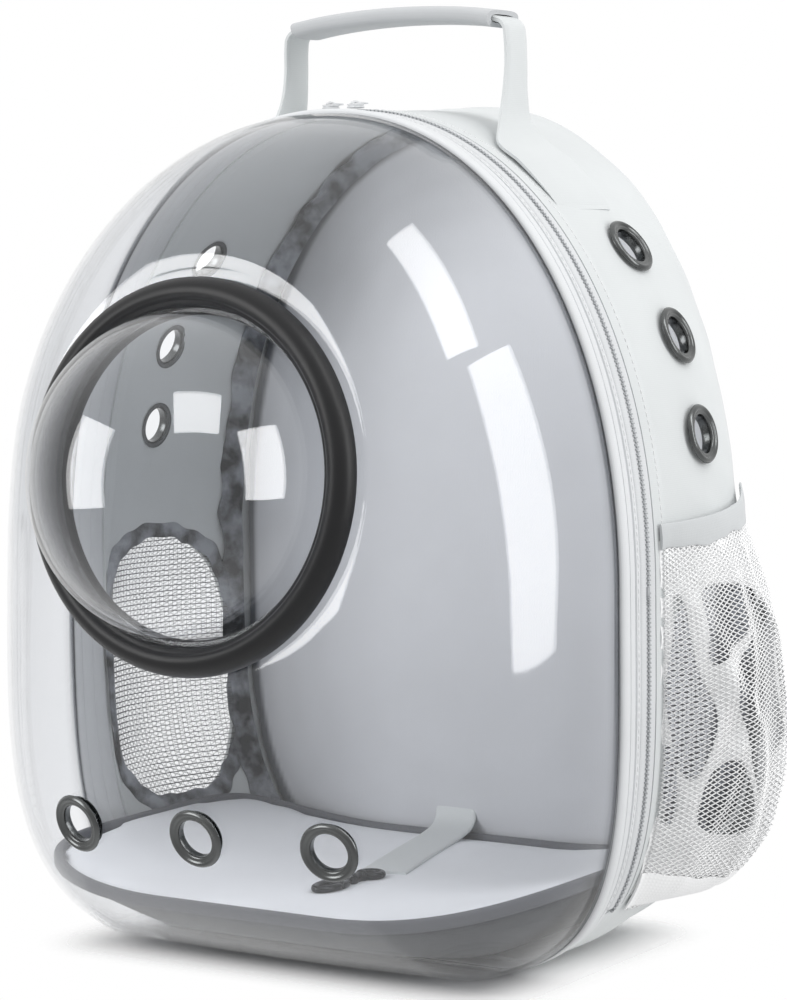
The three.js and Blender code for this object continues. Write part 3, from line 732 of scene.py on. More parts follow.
def zip_teeth(pitch):
    """Two rows of teeth that reach between each other along the middle of the tape."""
    angles = even_angles(int(SEAM_LENGTH / pitch) * 2)
    angles = angles[body_surface(angles, 0)[:, 2] > ZIP_FOOT_Z]
    step = np.gradient(angles) * 0.42
    side = np.where(np.arange(len(angles)) % 2 == 0, -1.0, 1.0)
    corners = []
    for lift in (0.4, 1.5):
        for along, across in ((-1, 1.5), (1, 1.5), (1, -0.5), (-1, -0.5)):
            shrink = 1.0 if lift < 1 else 0.7
            depth = ZIP_MIDDLE + side * (across if lift < 1 else across * 0.85)
            corners.append(lifted(body_surface, angles + along * step * shrink, depth, lift))
    points = np.stack(corners, axis=1)
    box = [[0, 1, 2, 3], [4, 5, 6, 7], [0, 1, 5, 4], [1, 2, 6, 5], [2, 3, 7, 6], [3, 0, 4, 7]]
    faces = (np.array(box)[None] + 8 * np.arange(len(angles))[:, None, None]).reshape(-1, 4)
    obj = add_object("zip_teeth", points, faces)
    face_out(obj)
    sharpen(obj, degrees=30)
    return obj


dress(zip_teeth(pitch=2.2), "zip_tape", zip_teeth_stuff)


def zip_slider(name, x):
    """A slider: a pinched body on the teeth, a bridge over it and a pull with a round end."""
    foot = body_surface(np.pi / 2, ZIP_MIDDLE)[2] + 2
    centre = np.array([x, SEAM_Y + ZIP_MIDDLE, foot])
    turn = full_turn(32)
    outline = np.stack([3.8 * bent(np.cos(turn), 0.6), 4.4 * bent(np.sin(turn), 0.7)], axis=-1)
    heights = [(0.0, 0.9), (0.3, 1.0), (0.7, 1.0), (0.9, 0.88)]
    heights += [(1.4, 0.88), (1.6, 1.0), (2.0, 0.96), (2.3, 0.75)]
    loops = [np.column_stack([outline * share, np.full(32, h)]) + centre for h, share in heights]
    body = lofted(name + "_body", np.array(loops))
    arc = np.linspace(0, np.pi, 13)
    bridge_line = centre + np.column_stack([np.zeros(13), 3.4 * np.cos(arc), 2.2 + 1.0 * np.sin(arc)])
    bridge = tubes(name + "_bridge", [bridge_line], [np.tile([1.0, 0, 0], (13, 1))], 0.7, 8)
    pull_shape = np.stack([2.5 * bent(np.cos(turn), 0.7), 4.2 + 5.2 * bent(np.sin(turn), 0.7)], axis=-1)
    bore = np.stack([1.4 * np.cos(turn), 7.0 + 1.5 * np.sin(turn)], axis=-1)
    full_shape = pull_shape * [1.06, 1.01]
    rings = [(pull_shape, 2.3), (full_shape, 2.5), (full_shape, 2.9), (pull_shape, 3.1)]
    rings += [(bore, 3.1), (bore, 2.3)]
    loops = np.array([np.column_stack([shape, np.full(32, h)]) + centre for shape, h in rings])
    pull = lofted(name + "_pull", loops, closed=True)
    dress(body, "dark_metal", pale_metal, replaces=[name])
    for extra in (bridge, pull):
        dress(extra, "dark_metal", pale_metal)


zip_slider("zip_slider_left", x=-10)
zip_slider("zip_slider_right", x=5)

# Body with a window in each side
FREE_CLOTH = {"depth": (40, 80), "z": (30, 90), "sink": 0.7}
HEM = {"lift": 0.8, "depth": (37, 35.5), "z": (20, 40)}
LINING_PAINTED_SHADE = (132, 135)
under_zip = np.linspace(BAND_BACK, ZIP_BACK, 5)[:-1]
body_depths = np.concatenate([under_zip, np.linspace(ZIP_BACK, BACK_DEPTH, 58)])
under_base = body_surface(around, 0)[:, 2] <= ZIP_FOOT_Z
depth_grid = np.where(under_base[:, None], body_depths[None, :], np.maximum(body_depths, ZIP_BACK)[None, :])
angle_grid = np.broadcast_to(around[:, None], depth_grid.shape)
body_points = body_surface(angle_grid, depth_grid)
faces, uv = grid_faces(body_points, wrap_rows=True)
flat_cell = (~under_base[:, None] & (body_depths[:-1] < ZIP_BACK)[None, :]).ravel()
keep = ~flat_cell
points = body_points.reshape(-1, 3).copy()
depths = depth_grid.ravel()
for hand in (1, -1):
    aside = np.where(points[:, 0] * hand > 0, 0.0, np.inf)
    in_depth = (depths - WINDOW["depth"]) / WINDOW["half_depth"]
    in_height = (points[:, 2] - WINDOW["z"]) / WINDOW["half_height"]
    power = WINDOW["power"]
    share = (np.abs(in_depth) ** power + np.abs(in_height) ** power) ** (1 / power)
    stays, rim = edge_of_hole(faces, share + aside)
    keep &= stays
    rim_depth = WINDOW["depth"] + WINDOW["half_depth"] * in_depth[rim] / share[rim]
    rim_z = WINDOW["z"] + WINDOW["half_height"] * in_height[rim] / share[rim]
    points[rim] = body_surface(angle_at(rim_z, rim_depth), rim_depth) * [hand, 1, 1]
for place, axis in body_holes.values():
    keep &= round_hole(points, faces, place, axis, EYELET_HOLE_R)
free_cloth = ramp(depths, *FREE_CLOTH["depth"]) * ramp(points[:, 2], *FREE_CLOTH["z"])
normals = normal_of(body_surface, angle_grid, depth_grid).reshape(-1, 3)
sink = FREE_CLOTH["sink"] + 0.5 * ripple(points, size=46) + 0.25 * ripple(points, size=17)
points -= normals * (free_cloth * sink)[:, None]
front_hem = ramp(depths, *HEM["depth"]) * ramp(points[:, 2], *HEM["z"])
points += normals * (HEM["lift"] * front_hem)[:, None]
gusset = add_object("body_cloth", bulged(points), faces[keep][:, ::-1], uv[keep][:, ::-1])
thicken(gusset, CLOTH)
sharpen(gusset)
# Painted shade: the lining darkens towards the back seam, where the sides meet the back panel.
mark_border(gusset, lambda p: ramp(p[:, 1] - SEAM_Y, *LINING_PAINTED_SHADE))
seam_row("hem_stitches", depth=35.2, lift=0.7, radius=0.32)
dress(gusset, "white_cloth", white_cloth, grey_lining, replaces=["gusset"])


LINING_TAPE = {"foot_z": 20.0, "middle": 128.0, "slack": (138, 128)}


def seam_tape(name):
    """The loose tape that covers the back seam inside the body, with its free edge wavy. Its darkness is
    partly painted shade where the sides meet the back panel.
    """
    angles = even_angles(count=420)
    angles = angles[body_surface(angles, 0)[:, 2] > LINING_TAPE["foot_z"]][:, None]
    section = [(127, -3.4), (130, -4.6), (133, -5.2), (136, -8), (136.4, -13)]
    section += [(135.6, -13.4), (134.6, -8.8), (132, -6.6), (129.5, -5.8), (127, -4.4)]
    depth, lift = rounded(section, times=1).T
    middle = body_surface(angles, LINING_TAPE["middle"])
    loose = ramp(depth, *LINING_TAPE["slack"])
    depth = depth + loose * (ripple(middle, size=12) + 1.4 * ripple(middle, size=40))
    lift = lift - loose * np.maximum(0, 0.8 + 1.1 * ripple(middle, size=9))
    return lofted(name, bulged(lifted(body_surface, angles, depth, lift)))


dress(seam_tape("lining_tape"), "grey_lining", dark_tape_painted_folds)


# Nets
def window_net(name, hand, pitch):
    """Threads across and up the window, a little way past its edge. Those up it are finer."""
    half_depth = WINDOW["half_depth"] + WINDOW["lap"] - 1
    half_height = WINDOW["half_height"] + WINDOW["lap"] - 1

    def reach(offset, half, other_half):
        return other_half * (1 - np.abs(offset / half) ** WINDOW["power"]) ** (1 / WINDOW["power"])

    lines = []
    for dz in np.arange(-half_height + 0.5 * pitch, half_height, pitch):
        span = reach(dz, half_height, half_depth)
        depth = WINDOW["depth"] + np.linspace(-span, span, max(3, int(span / 1.8)))
        lines.append((depth, np.full_like(depth, WINDOW["z"] + dz)))
    across_count = len(lines)
    for dd in np.arange(-half_depth + 0.5 * pitch, half_depth, pitch):
        span = reach(dd, half_depth, half_height)
        z = WINDOW["z"] + np.linspace(-span, span, max(3, int(span / 2.2)))
        lines.append((np.full_like(z, WINDOW["depth"] + dd), z))
    threads, ups = [], []
    for depth, z in lines:
        angle = angle_at(z, depth)
        sag = 0.35 * np.sin(z / 7 + depth / 9)
        threads.append(bulged(lifted(body_surface, angle, depth, NET_LIFT + sag) * [hand, 1, 1]))
        ups.append(normal_of(body_surface, angle, depth) * [hand, 1, 1])
    is_across = np.arange(len(lines)) < across_count
    radii = np.where(is_across, CROSS_THREAD["radius"], UP_THREAD["radius"])
    widths = np.where(is_across, CROSS_THREAD["width"], UP_THREAD["width"])
    return tubes(name, threads, ups, radii, widths=widths)


def window_edge(name, hand):
    """The tape that binds the window inside the body."""
    turn = full_turn(160)[:, None]
    section = [(-1, -6.1), (2, -6), (5, -5.2), (7.5, -3.2), (8, -3.6), (5.5, -6.2), (2, -6.9), (-1, -6.8)]
    grow, lift = rounded(section).T
    grow = grow + 0.8 * np.sin(9 * turn) + 0.6 * np.sin(23 * turn + 1)
    depth = WINDOW["depth"] + (WINDOW["half_depth"] + grow) * bent(np.cos(turn), 2 / WINDOW["power"])
    z = WINDOW["z"] + (WINDOW["half_height"] + grow) * bent(np.sin(turn), 2 / WINDOW["power"])
    points = lifted(body_surface, angle_at(z, depth), depth, lift) * [hand, 1, 1]
    return lofted(name, bulged(points), closed=True)


for side, hand in SIDES:
    net = window_net("window_net_" + side, hand, pitch=2.9)
    dress(net, "dark_net", dark_net, replaces=["mesh_window_" + side])
    tape = dress(window_edge("window_edge_" + side, hand), "grey_lining", dark_tape_painted_folds)

# Folds of the right pocket: the run of each from foot to mouth, how far it stands up and how wide it is
FOLD_ROWS = [
    ([0.1, 0.29, 0.48, 0.58, 0.84], [0.47, 0.44, 0.38, 0.29, 0.14], 4.5, 0.06),
    ([0.1, 0.37, 0.6], [0.1, 0.17, 0.29], 3.5, 0.055),
    ([0.5, 0.62, 0.84], [0.35, 0.39, 0.46], 3.0, 0.04),
    ([0.08, 0.25, 0.42], [0.2, 0.23, 0.33], 3.0, 0.04),
    ([0.06, 0.5, 0.9], [0.66, 0.62, 0.6], 5.0, 0.05),
    ([0.2, 0.5, 0.8], [0.86, 0.8, 0.78], 4.0, 0.05),
]
FOLDS = [dict(zip(("up", "across", "height", "width"), row)) for row in FOLD_ROWS]
# Outlines on the right pocket, in shares across and up, inside which its gathered net lies single
SINGLE_NET = [
    [(0.23, 0.84), (0.55, 0.81), (0.6, 0.77), (0.5, 0.74), (0.36, 0.68), (0.22, 0.62), (0.2, 0.66)]
    + [(0.22, 0.75)],
    [(0.63, 0.79), (0.72, 0.75), (0.77, 0.67), (0.72, 0.59), (0.68, 0.5), (0.58, 0.38), (0.45, 0.28)]
    + [(0.39, 0.36), (0.37, 0.44), (0.31, 0.51), (0.3, 0.57), (0.37, 0.65), (0.46, 0.7)],
    [(0.07, 0.82), (0.13, 0.81), (0.14, 0.69), (0.17, 0.6), (0.22, 0.54), (0.23, 0.48), (0.2, 0.41)]
    + [(0.14, 0.33), (0.07, 0.38), (0.05, 0.47), (0.02, 0.56), (0.04, 0.64), (0.07, 0.73)],
    [(0.01, 0.44), (0.06, 0.43), (0.08, 0.37), (0.1, 0.22), (0.02, 0.24), (0.01, 0.3)],
    [(0.21, 0.37), (0.33, 0.4), (0.38, 0.35), (0.48, 0.2), (0.18, 0.21), (0.17, 0.29)],
]
HEM_SHARE = 12.0 / (POCKET["front_mouth_z"] - POCKET["foot_z"])
FOOT_SHARE = 0.1
FOLD_SINK = 5.5
# The least gap between a pocket's net and the wall behind it, and how far both lie off the plain body
WALL_GAP = 0.6
POCKET_LIFT = 0.9
FACE_SIZE = (107.0, 190.0)
FACE_GRID = (150, 200)


def fold_line(fold, up_share):
    waver = 0.008 * np.sin(23 * up_share + 40 * fold["height"])
    return np.interp(up_share, fold["up"], fold["across"]) + waver


def pocket_surface(hand, across, up_share, lift=0.0):
    """Points on a pocket's net. Only the right one, which shows, has the folds."""
    across, up_share = np.broadcast_arrays(across, up_share)
    depth = POCKET["front"] + (POCKET["back"] - POCKET["front"]) * across
    mouth_z = POCKET["front_mouth_z"] + (POCKET["back_mouth_z"] - POCKET["front_mouth_z"]) * across**2
    z = POCKET["foot_z"] + (mouth_z - POCKET["foot_z"]) * up_share
    fullness = np.sin(np.pi * np.clip(across, 0, 1) ** 1.2) ** 0.8
    ridges = 0.0
    for fold in FOLDS if hand > 0 else ():
        ends = [fold["up"][0] - 0.06, fold["up"][0], fold["up"][-1], fold["up"][-1] + 0.08]
        height = fold["height"] * np.interp(up_share, ends, [0, 1, 1, 0])
        ridges = ridges + height * np.exp(-(((across - fold_line(fold, up_share)) / fold["width"]) ** 2))
    free = np.clip(6 * up_share, 0, 1) * np.clip((1 - up_share) * 5, 0.12, 1)
    out = fullness * (np.interp(z, POCKET_OUT["z"], POCKET_OUT["out"]) + free * (ridges - FOLD_SINK))
    out = out * np.interp(up_share, [0.7, 0.94], [1, 0.3])
    wall = belly("right" if hand > 0 else "left", depth, z) + WALL_GAP
    lift = POCKET_LIFT + np.maximum(wall, out) + lift
    return lifted(body_surface, angle_at(z, depth), depth, lift) * [hand, 1, 1]


def pocket_net(name, hand, pitch):
    """A net of slanted threads over the pocket, crossing both ways."""
    wide, tall = 92.0, 258.0
    step = 0.002
    threads, ups = [], []

    def face(across, up_share, lift=0.0):
        return pocket_surface(hand, across, up_share, lift)

    for slant in (1, -1):
        for start in np.arange(-tall, wide + tall, pitch):
            t = np.arange(0, tall + 0.1, pitch / 2)
            u = start + slant * t
            inside = (u >= 0) & (u <= wide)
            if inside.sum() < 3:
                continue
            across, up_share = u[inside] / wide, t[inside] / tall
            weave = 0.25 * POCKET_THREAD["radius"] * np.cos(np.pi * np.arange(inside.sum()))
            du = face(across + step, up_share) - face(across - step, up_share)
            dv = face(across, up_share + step) - face(across, up_share - step)
            rise = hand * unit(np.cross(du, dv))
            ups.append(rise)
            threads.append(face(across, up_share, 0.5) + rise * weave[:, None])
    return tubes(name, threads, ups, POCKET_THREAD["radius"], widths=POCKET_THREAD["width"])


def pocket_strip(name, hand, up_section, lifts):
    """A folded band that runs across the pocket, front to back."""
    across = np.linspace(0, 1, 81)[:, None]
    pull = 0.004 * np.sin(15 * across) + 0.002 * np.sin(37 * across)
    up_share, lift = rounded(np.column_stack([up_section, lifts])).T
    return lofted(name, pocket_surface(hand, across, up_share + pull * (up_share < 0.95), lift))


def inside_loop(points, loop):
    """Which points of a plane lie inside a closed loop."""
    x, y = points.T
    inside = np.zeros(len(points), bool)
    for (x0, y0), (x1, y1) in zip(loop, np.roll(loop, -1, axis=0)):
        if y0 != y1:
            inside ^= ((y0 > y) != (y1 > y)) & (x < x0 + (x1 - x0) * (y - y0) / (y1 - y0))
    return inside


def pocket_folds(name, hand):
    """The gathered part of a pocket, where the net lies double. It is open where the net lies single."""
    columns, rows = FACE_GRID
    shares = np.meshgrid(np.linspace(0, 1, columns), np.linspace(0.04, 0.96, rows), indexing="ij")
    sheet = np.stack(shares, axis=-1)
    faces, uv = grid_faces(np.concatenate([sheet * FACE_SIZE, np.zeros((columns, rows, 1))], axis=-1))
    flat = sheet.reshape(-1, 2).copy()
    middles = flat[faces].mean(axis=1)
    keep = np.ones(len(faces), bool)
    nearest = np.full(len(flat), np.inf)
    for outline in SINGLE_NET:
        edge = rounded(outline, times=5)
        gone = inside_loop(middles, edge)
        keep &= ~gone
        gaps = np.linalg.norm(flat[:, None] - edge[None, ::4], axis=-1)
        nearest = np.minimum(nearest, gaps.min(axis=1))
        rim = np.intersect1d(faces[gone], faces[~gone])
        flat[rim] = edge[np.linalg.norm(flat[rim, None] - edge[None], axis=-1).argmin(axis=1)]
    across, up_share = flat.T
    full = 1 - np.exp(-nearest / 0.03)
    points = pocket_surface(hand, across, up_share, -1.5 + 1.2 * full)
    points[:, 0] += 0.35 * hand * full * ripple(points, size=7)
    folds = add_object(name, points, faces[keep], uv[keep])
    thicken(folds, thick=0.3)
    return folds


pockets = {}
for side, hand in SIDES:
    hem_up = [1 - HEM_SHARE, 1 - HEM_SHARE / 2, 1, 1.004, 1, 1 - HEM_SHARE / 2, 1 - HEM_SHARE]
    hem = pocket_strip("pocket_binding_" + side, hand, hem_up, [0.2, 0.3, 0.2, 0.8, 1.6, 1.9, 1.4])
    dress(hem, "white_binding", hem_cloth, replaces=["pocket_hem_" + side])
    foot_up = [0.002, FOOT_SHARE / 2, FOOT_SHARE, FOOT_SHARE, FOOT_SHARE / 2, 0.002]
    foot = pocket_strip("pocket_foot_" + side, hand, foot_up, [0.2, 0.3, 0.3, 1.2, 1.6, 1.0])
    bands = [foot, pocket_folds("pocket_folds_right", hand)] if side == "right" else [foot]
    for band in bands:
        dress(band, "white_net", net_fold)
    net = pocket_net("pocket_net_" + side, hand, pitch=3.3)
    dress(net, "white_net", white_net, replaces=["mesh_pocket_" + side])
    pockets[side] = [net] + bands


# Padded pieces, swelled as cloth
SWELL_PRESSURE = 4.0
SWELL_FRAMES = 20
SMOOTHINGS = 5


def swollen(obj, voxel, cap, pinned=None):
    """Blows a closed form up as cloth, and lets no point move further than a cap."""
    remesh = obj.modifiers.new("even", "REMESH")
    remesh.mode = "VOXEL"
    remesh.voxel_size = voxel * MM
    apply_modifiers(obj)
    start = np.empty(len(obj.data.vertices) * 3)
    obj.data.vertices.foreach_get("co", start)
    start = start.reshape(-1, 3)
    cloth_modifier = obj.modifiers.new("swell", "CLOTH")
    settings = cloth_modifier.settings
    settings.use_pressure = True
    settings.uniform_pressure_force = SWELL_PRESSURE
    settings.effector_weights.gravity = 0
    if pinned is not None:
        group = obj.vertex_groups.new(name="sewn")
        group.add(np.flatnonzero(pinned(start / MM)).tolist(), 1.0, "REPLACE")
        settings.vertex_group_mass = "sewn"
    scene = bpy.context.scene
    for step in range(1, SWELL_FRAMES + 1):
        scene.frame_set(step)
    shown = obj.evaluated_get(bpy.context.evaluated_depsgraph_get()).data
    moved = np.empty(len(shown.vertices) * 3)
    shown.vertices.foreach_get("co", moved)
    moved = moved.reshape(-1, 3) - start
    far = np.linalg.norm(moved, axis=1, keepdims=True)
    moved *= np.minimum(1, cap * MM / np.maximum(far, 1e-9))
    obj.modifiers.clear()
    obj.data.vertices.foreach_set("co", (start + moved).ravel())
    scene.frame_set(1)
    smoother = obj.modifiers.new("even_out", "SMOOTH")
    smoother.iterations = SMOOTHINGS
    finer = obj.modifiers.new("finer", "SUBSURF")
    finer.levels = 1
    apply_modifiers(obj)
    obj.data.polygons.foreach_set("use_smooth", [True] * len(obj.data.polygons))


def second_material(obj, chosen):
    """Gives the faces that a test picks, by their middles, the piece's second material."""
    middles = np.empty(len(obj.data.polygons) * 3)
    obj.data.polygons.foreach_get("center", middles)
    picked = chosen(middles.reshape(-1, 3) / MM)
    obj.data.polygons.foreach_set("material_index", picked.astype(np.int32))


# Back panel, whose rings have a depth, an inset and a scale
PANEL_RINGS = [(137.5, 4, 0.9), (137.8, 3, 0.97), (139.5, 2, 1.0)]
PANEL_RINGS += [(146, 2, 1.0), (149, 3, 0.97), (149.6, 4, 0.9)]
panel_angles = even_angles(count=160)


def panel_ring(depth, inset, scale):
    rim = lifted(body_surface, panel_angles, min(depth, BACK_DEPTH - 1), -inset)
    z = WAIST_Z + (rim[:, 2] - WAIST_Z) * scale
    return np.column_stack([rim[:, 0] * scale, np.full(len(rim), SEAM_Y + depth), z])


panel = lofted("back_cushion", np.array([panel_ring(*row) for row in PANEL_RINGS]))


def panel_share(points):
    """How far out a point of the panel lies, from 0 in the middle to 1 at its edge."""
    _, top, foot_power = swell_at(BACK_DEPTH - 5)
    x = np.abs(points[:, 0]) / (HALF_WIDTH - 15)
    rise = points[:, 2] - WAIST_Z
    z = np.abs(rise) / np.where(rise > 0, HEIGHT + top - WAIST_Z - 5, WAIST_Z * FOOT_REACH - 5)
    power = np.where(rise > 0, CROWN_POWER, foot_power)
    return (x**power + z**power) ** (1 / power)


PANEL_SEAM = 0.95
swollen(panel, voxel=5, cap=7, pinned=lambda p: panel_share(p) > PANEL_SEAM)
dress(panel, "grey_lining", panel_cloth, replaces=["back_panel"])
# Painted shade on the panel's inner face: darker towards its foot and at its upper left, where the crown
# shades it.
PANEL_FOOT_PAINTED_SHADE = {"z": [30, 90, 180], "share": [0.3, 0.19, 0.03]}
PANEL_CORNER_PAINTED_SHADE = {"x": [-95, -50], "across": [0.45, 0], "z": [290, 340], "up": [0, 1]}
PANEL_MIDDLE = 143.0


def panel_edge_and_painted_shade(points):
    """The panel's dark edge, partly a seam and partly painted shade where it meets the sides, and softer
    painted shade on its inner face, at its foot and its upper left.
    """
    x, depth, z = points[:, 0], points[:, 1] - SEAM_Y, points[:, 2]
    low = np.interp(z, PANEL_FOOT_PAINTED_SHADE["z"], PANEL_FOOT_PAINTED_SHADE["share"])
    across = np.interp(x, PANEL_CORNER_PAINTED_SHADE["x"], PANEL_CORNER_PAINTED_SHADE["across"])
    painted_corner_shade = across * np.interp(z, PANEL_CORNER_PAINTED_SHADE["z"], PANEL_CORNER_PAINTED_SHADE["up"])
    edge = ramp(panel_share(points), PANEL_SEAM, PANEL_SEAM + 0.02)
    return np.maximum(edge, np.where(depth < PANEL_MIDDLE, np.maximum(low, painted_corner_shade), 0))


mark_border(panel, panel_edge_and_painted_shade)

# Floor pad, whose rows have a height, a half width and the depths of back and front
PAD_ROWS = [(4, 88, 124, -10), (13, 112, 130, -46), (24, 134, 133, -66), (33, 148, 135, -84)]
PAD = {"flat_half": 52.0, "rise": 13.0, "half": 141.0, "middle": 40.0, "front_power": 4.4, "back_power": 6}
PAD_Z = {"sewn": 30.0, "white": 32.5, "binding": 34.2, "top": 36.0}


def pad_rise(x):
    past = np.maximum(0, np.abs(x) - PAD["flat_half"])
    return PAD["rise"] * (past / (PAD["half"] - PAD["flat_half"])) ** 2


def pad_ring(z, half, back, front, rise_share, count=120):
    turn = -np.pi / 2 + 2 * np.pi * (np.arange(count) + 0.5) / count
    c = np.cos(turn)
    s = np.sin(turn)
    power = np.where(s > 0, PAD["back_power"], PAD["front_power"])
    reach = np.where(s > 0, back - PAD["middle"], PAD["middle"] - front)
    x = half * bent(c, 2 / power)
    depth = PAD["middle"] + reach * bent(s, 2 / power)
    return np.column_stack([x, SEAM_Y + depth, z + rise_share * pad_rise(x)])


rim_z, rim_half, rim_back, rim_front = PAD_ROWS[-1]
pad_loops = [pad_ring(z, half, back, front, z / rim_z) for z, half, back, front in PAD_ROWS]
for share in (0.97, 0.8, 0.6, 0.35):
    back = PAD["middle"] + (rim_back - PAD["middle"]) * share
    front = PAD["middle"] + (rim_front - PAD["middle"]) * share
    pad_loops.append(pad_ring(PAD_Z["top"], rim_half * share, back, front, rise_share=1.0))
pad = lofted("floor_cushion", np.array(pad_loops))
swollen(pad, voxel=4.5, cap=2.0, pinned=lambda p: p[:, 2] < PAD_Z["sewn"] + pad_rise(p[:, 0]))
dress(pad, "pad_cloth", pad_cloth, pad_underside_painted_shade, replaces=["floor_pad"])
# Below its white top the pad takes the near-black underside, painted shade.
second_material(pad, lambda p: p[:, 2] < PAD_Z["white"] + pad_rise(p[:, 0]))

BINDING_INSET = 2.2
rim_edges = (rim_half - BINDING_INSET, rim_back - BINDING_INSET, rim_front + BINDING_INSET)
rim_line = pad_ring(PAD_Z["binding"], *rim_edges, rise_share=1.0, count=200)
rim_out = unit(rim_line - rim_line.mean(axis=0)) * [1, 1, 0]
binding_section = rounded([(-2.4, -3.2), (2.4, -3.2), (2.6, 0), (2.4, 3.2), (-2.4, 3.2), (-3.4, 0)])
u, v = binding_section.T
loops = rim_line[:, None] + unit(rim_out)[:, None] * u[None, :, None]
loops = loops + np.array([0, 0, 1.0]) * v[None, :, None]
binding = lofted("floor_binding", loops, closed=True)
dress(binding, "pad_cloth", pad_binding)

# Leash: the points along it have an x, a depth and a height
LEASH = [(-12, 136.6, 60), (-12, 136.2, 51), (-10, 130, 42), (-6, 112, 38.8)]
LEASH += [(4, 72, 38.4), (14, 36, 38.4), (20, 15, 38.4)]
SIDEWAYS = np.array([1.0, 0, 0])
leash_line = through([at(*row) for row in LEASH], steps=10)
leash = swept("leash_webbing", leash_line, SIDEWAYS, flat_section(width=25, thick=1.8))
dress(leash, "white_webbing", white_webbing, replaces=["leash_strap"])

HOOK_Z = 39.8
HOOK_STEPS = 33


def hook_ring(x, depth, half_width, half_length):
    circle = np.linspace(0, 2 * np.pi, HOOK_STEPS)
    reach = np.column_stack([half_width * np.cos(circle), half_length * np.sin(circle), 0 * circle])
    return at(x, depth, HOOK_Z) + reach


eye_line = hook_ring(20, 4, half_width=6, half_length=6)
bow_line = hook_ring(18, -28, half_width=5.5, half_length=12)
upwards = np.tile([0, 0, 1.0], (HOOK_STEPS, 1))
hook_rings = tubes("hook_rings", [eye_line, bow_line], [upwards, upwards], radii=1.8, sides=12)
barrel_section = [(0.3, -7), (3.4, -7), (3.6, -4), (2.6, -3), (2.6, 1)]
barrel_section += [(3.8, 2), (3.8, 6), (2.4, 7.4), (0.3, 7.4)]
barrel_axis = np.array([-0.03, -1.0, 0])
barrel = turned("hook_barrel", rounded(barrel_section), 32, at(19, -8, HOOK_Z), barrel_axis)
dress(hook_rings, "dark_metal", black_metal, replaces=["leash_hook"])
dress(barrel, "dark_metal", black_metal)

# Handle: the rows of its feet have a height, a depth and a width, and those of its loop start with x
FOOT_ROWS = [(371, 62, 44), (374, 62, 44.5), (382, 62, 46), (393, 62, 46), (402, 63, 43)]
FOOT_THICK = {"z": [371, 375, 393], "share": [-0.3, 0.25, 1.0]}
POST_ROWS = [
    (70.5, 415, 69, 31),
    (68, 429, 73, 23),
    (67.5, 444, 75, 20),
    (67.2, 457, 75, 20),
    (65.8, 464, 75, 20),
    (60, 467.2, 75, 20),
    (44, 469.4, 75, 20),
    (23, 471, 75, 20),
    (0, 471.6, 75, 20),
]
HANDLE = {"thick": 3.0, "lift": 0.8}
GRIP = {"half": 62.0, "width": 30.0, "thick": 9.0, "bore_width": 22.0, "bore_thick": 4.4}
STRAP_SECTION = rounded(FLAT_CORNERS, times=1)


def foot_loop(z, depth, width, hand):
    side, face = STRAP_SECTION.T
    edge_depth = depth + side * width / 2
    share = np.interp(z, FOOT_THICK["z"], FOOT_THICK["share"])
    lift = share * (HANDLE["lift"] + (face + 1) / 2 * HANDLE["thick"])
    return lifted(body_surface, angle_at(z, edge_depth), edge_depth, lift) * [hand, 1, 1]


post_rows = np.array(POST_ROWS + [(-x, z, depth, width) for x, z, depth, width in POST_ROWS[-2::-1]], float)
post_out = np.gradient(post_rows[:, [0, 1]], axis=0)
post_out = unit(np.column_stack([post_out[:, 1], -post_out[:, 0]]))


def post_loop(row, out, section, width, thick):
    x, z, depth, _ = row
    side, face = np.asarray(section).T
    push = face * thick / 2
    return np.column_stack([x + out[0] * push, SEAM_Y + depth + side * width / 2, z + out[1] * push])


posts = list(zip(post_rows, post_out))
strap_loops = [foot_loop(*row, 1) for row in FOOT_ROWS]
strap_loops += [post_loop(row, out, STRAP_SECTION, row[3], HANDLE["thick"]) for row, out in posts]
strap_loops += [foot_loop(*row, -1) for row in FOOT_ROWS[::-1]]
strap = lofted("handle_webbing", through(strap_loops, steps=6))
dress(strap, "white_cloth", white_cloth, replaces=["handle_strap"])

grip_posts = [(row, out) for row, out in posts if abs(row[0]) < GRIP["half"]]
ring_turn = full_turn(40)
oval = np.column_stack([bent(np.cos(ring_turn), 0.55), bent(np.sin(ring_turn), 0.75)])
outer = [post_loop(row, out, oval, GRIP["width"], GRIP["thick"]) for row, out in grip_posts]
inner = [post_loop(row, out, oval, GRIP["bore_width"], GRIP["bore_thick"]) for row, out in grip_posts]
grip_loops = np.concatenate([through(outer, steps=6), through(inner, steps=6)[::-1]])
grip = lofted("handle_sleeve", grip_loops, closed=True)
dress(grip, "white_cloth", grip_cloth_painted_shade, replaces=["handle_grip"])

# Shoulder straps: the points along them have an x, a distance from the back and a height
PAD_LINE = [(46, 5.5, 392), (47, 6, 374), (52, 30, 330), (62, 36, 250), (76, 26, 170), (84, 18, 120)]
WEB_LINE = [(87.6, 13.6, 94), (92, 7.5, 74), (97, 2, 56), (98, 1.6, 40)]
for side, hand in SIDES:
    mirror = np.array([hand, 1, 1])
    pad_path = through([at(x, BACK_FACE + out, z) for x, out, z in PAD_LINE], steps=8) * mirror
    web_path = through([at(x, BACK_FACE + out, z) for x, out, z in WEB_LINE], steps=8) * mirror
    cushion = swept("shoulder_cushion_" + side, pad_path, SIDEWAYS, flat_section(width=56, thick=9))
    swollen(cushion, voxel=4.5, cap=3.0)
    dress(cushion, "strap_padding", strap_padding, replaces=["shoulder_pad_" + side])
    web = swept("shoulder_webbing_" + side, web_path, SIDEWAYS, flat_section(width=25, thick=2.2))
    dress(web, "white_webbing", white_webbing, replaces=["strap_webbing_" + side])
    middle = 0.5 * (pad_path[-1] + web_path[0])
    climb = unit(pad_path[-1] - web_path[0])
    box_line = middle + np.outer(np.linspace(-12, 12, 9), climb)
    adjuster = swept("adjuster_body_" + side, box_line, SIDEWAYS, flat_section(width=34, thick=5))
    dress(adjuster, "grey_plastic", grey_plastic, replaces=["strap_adjuster_" + side])

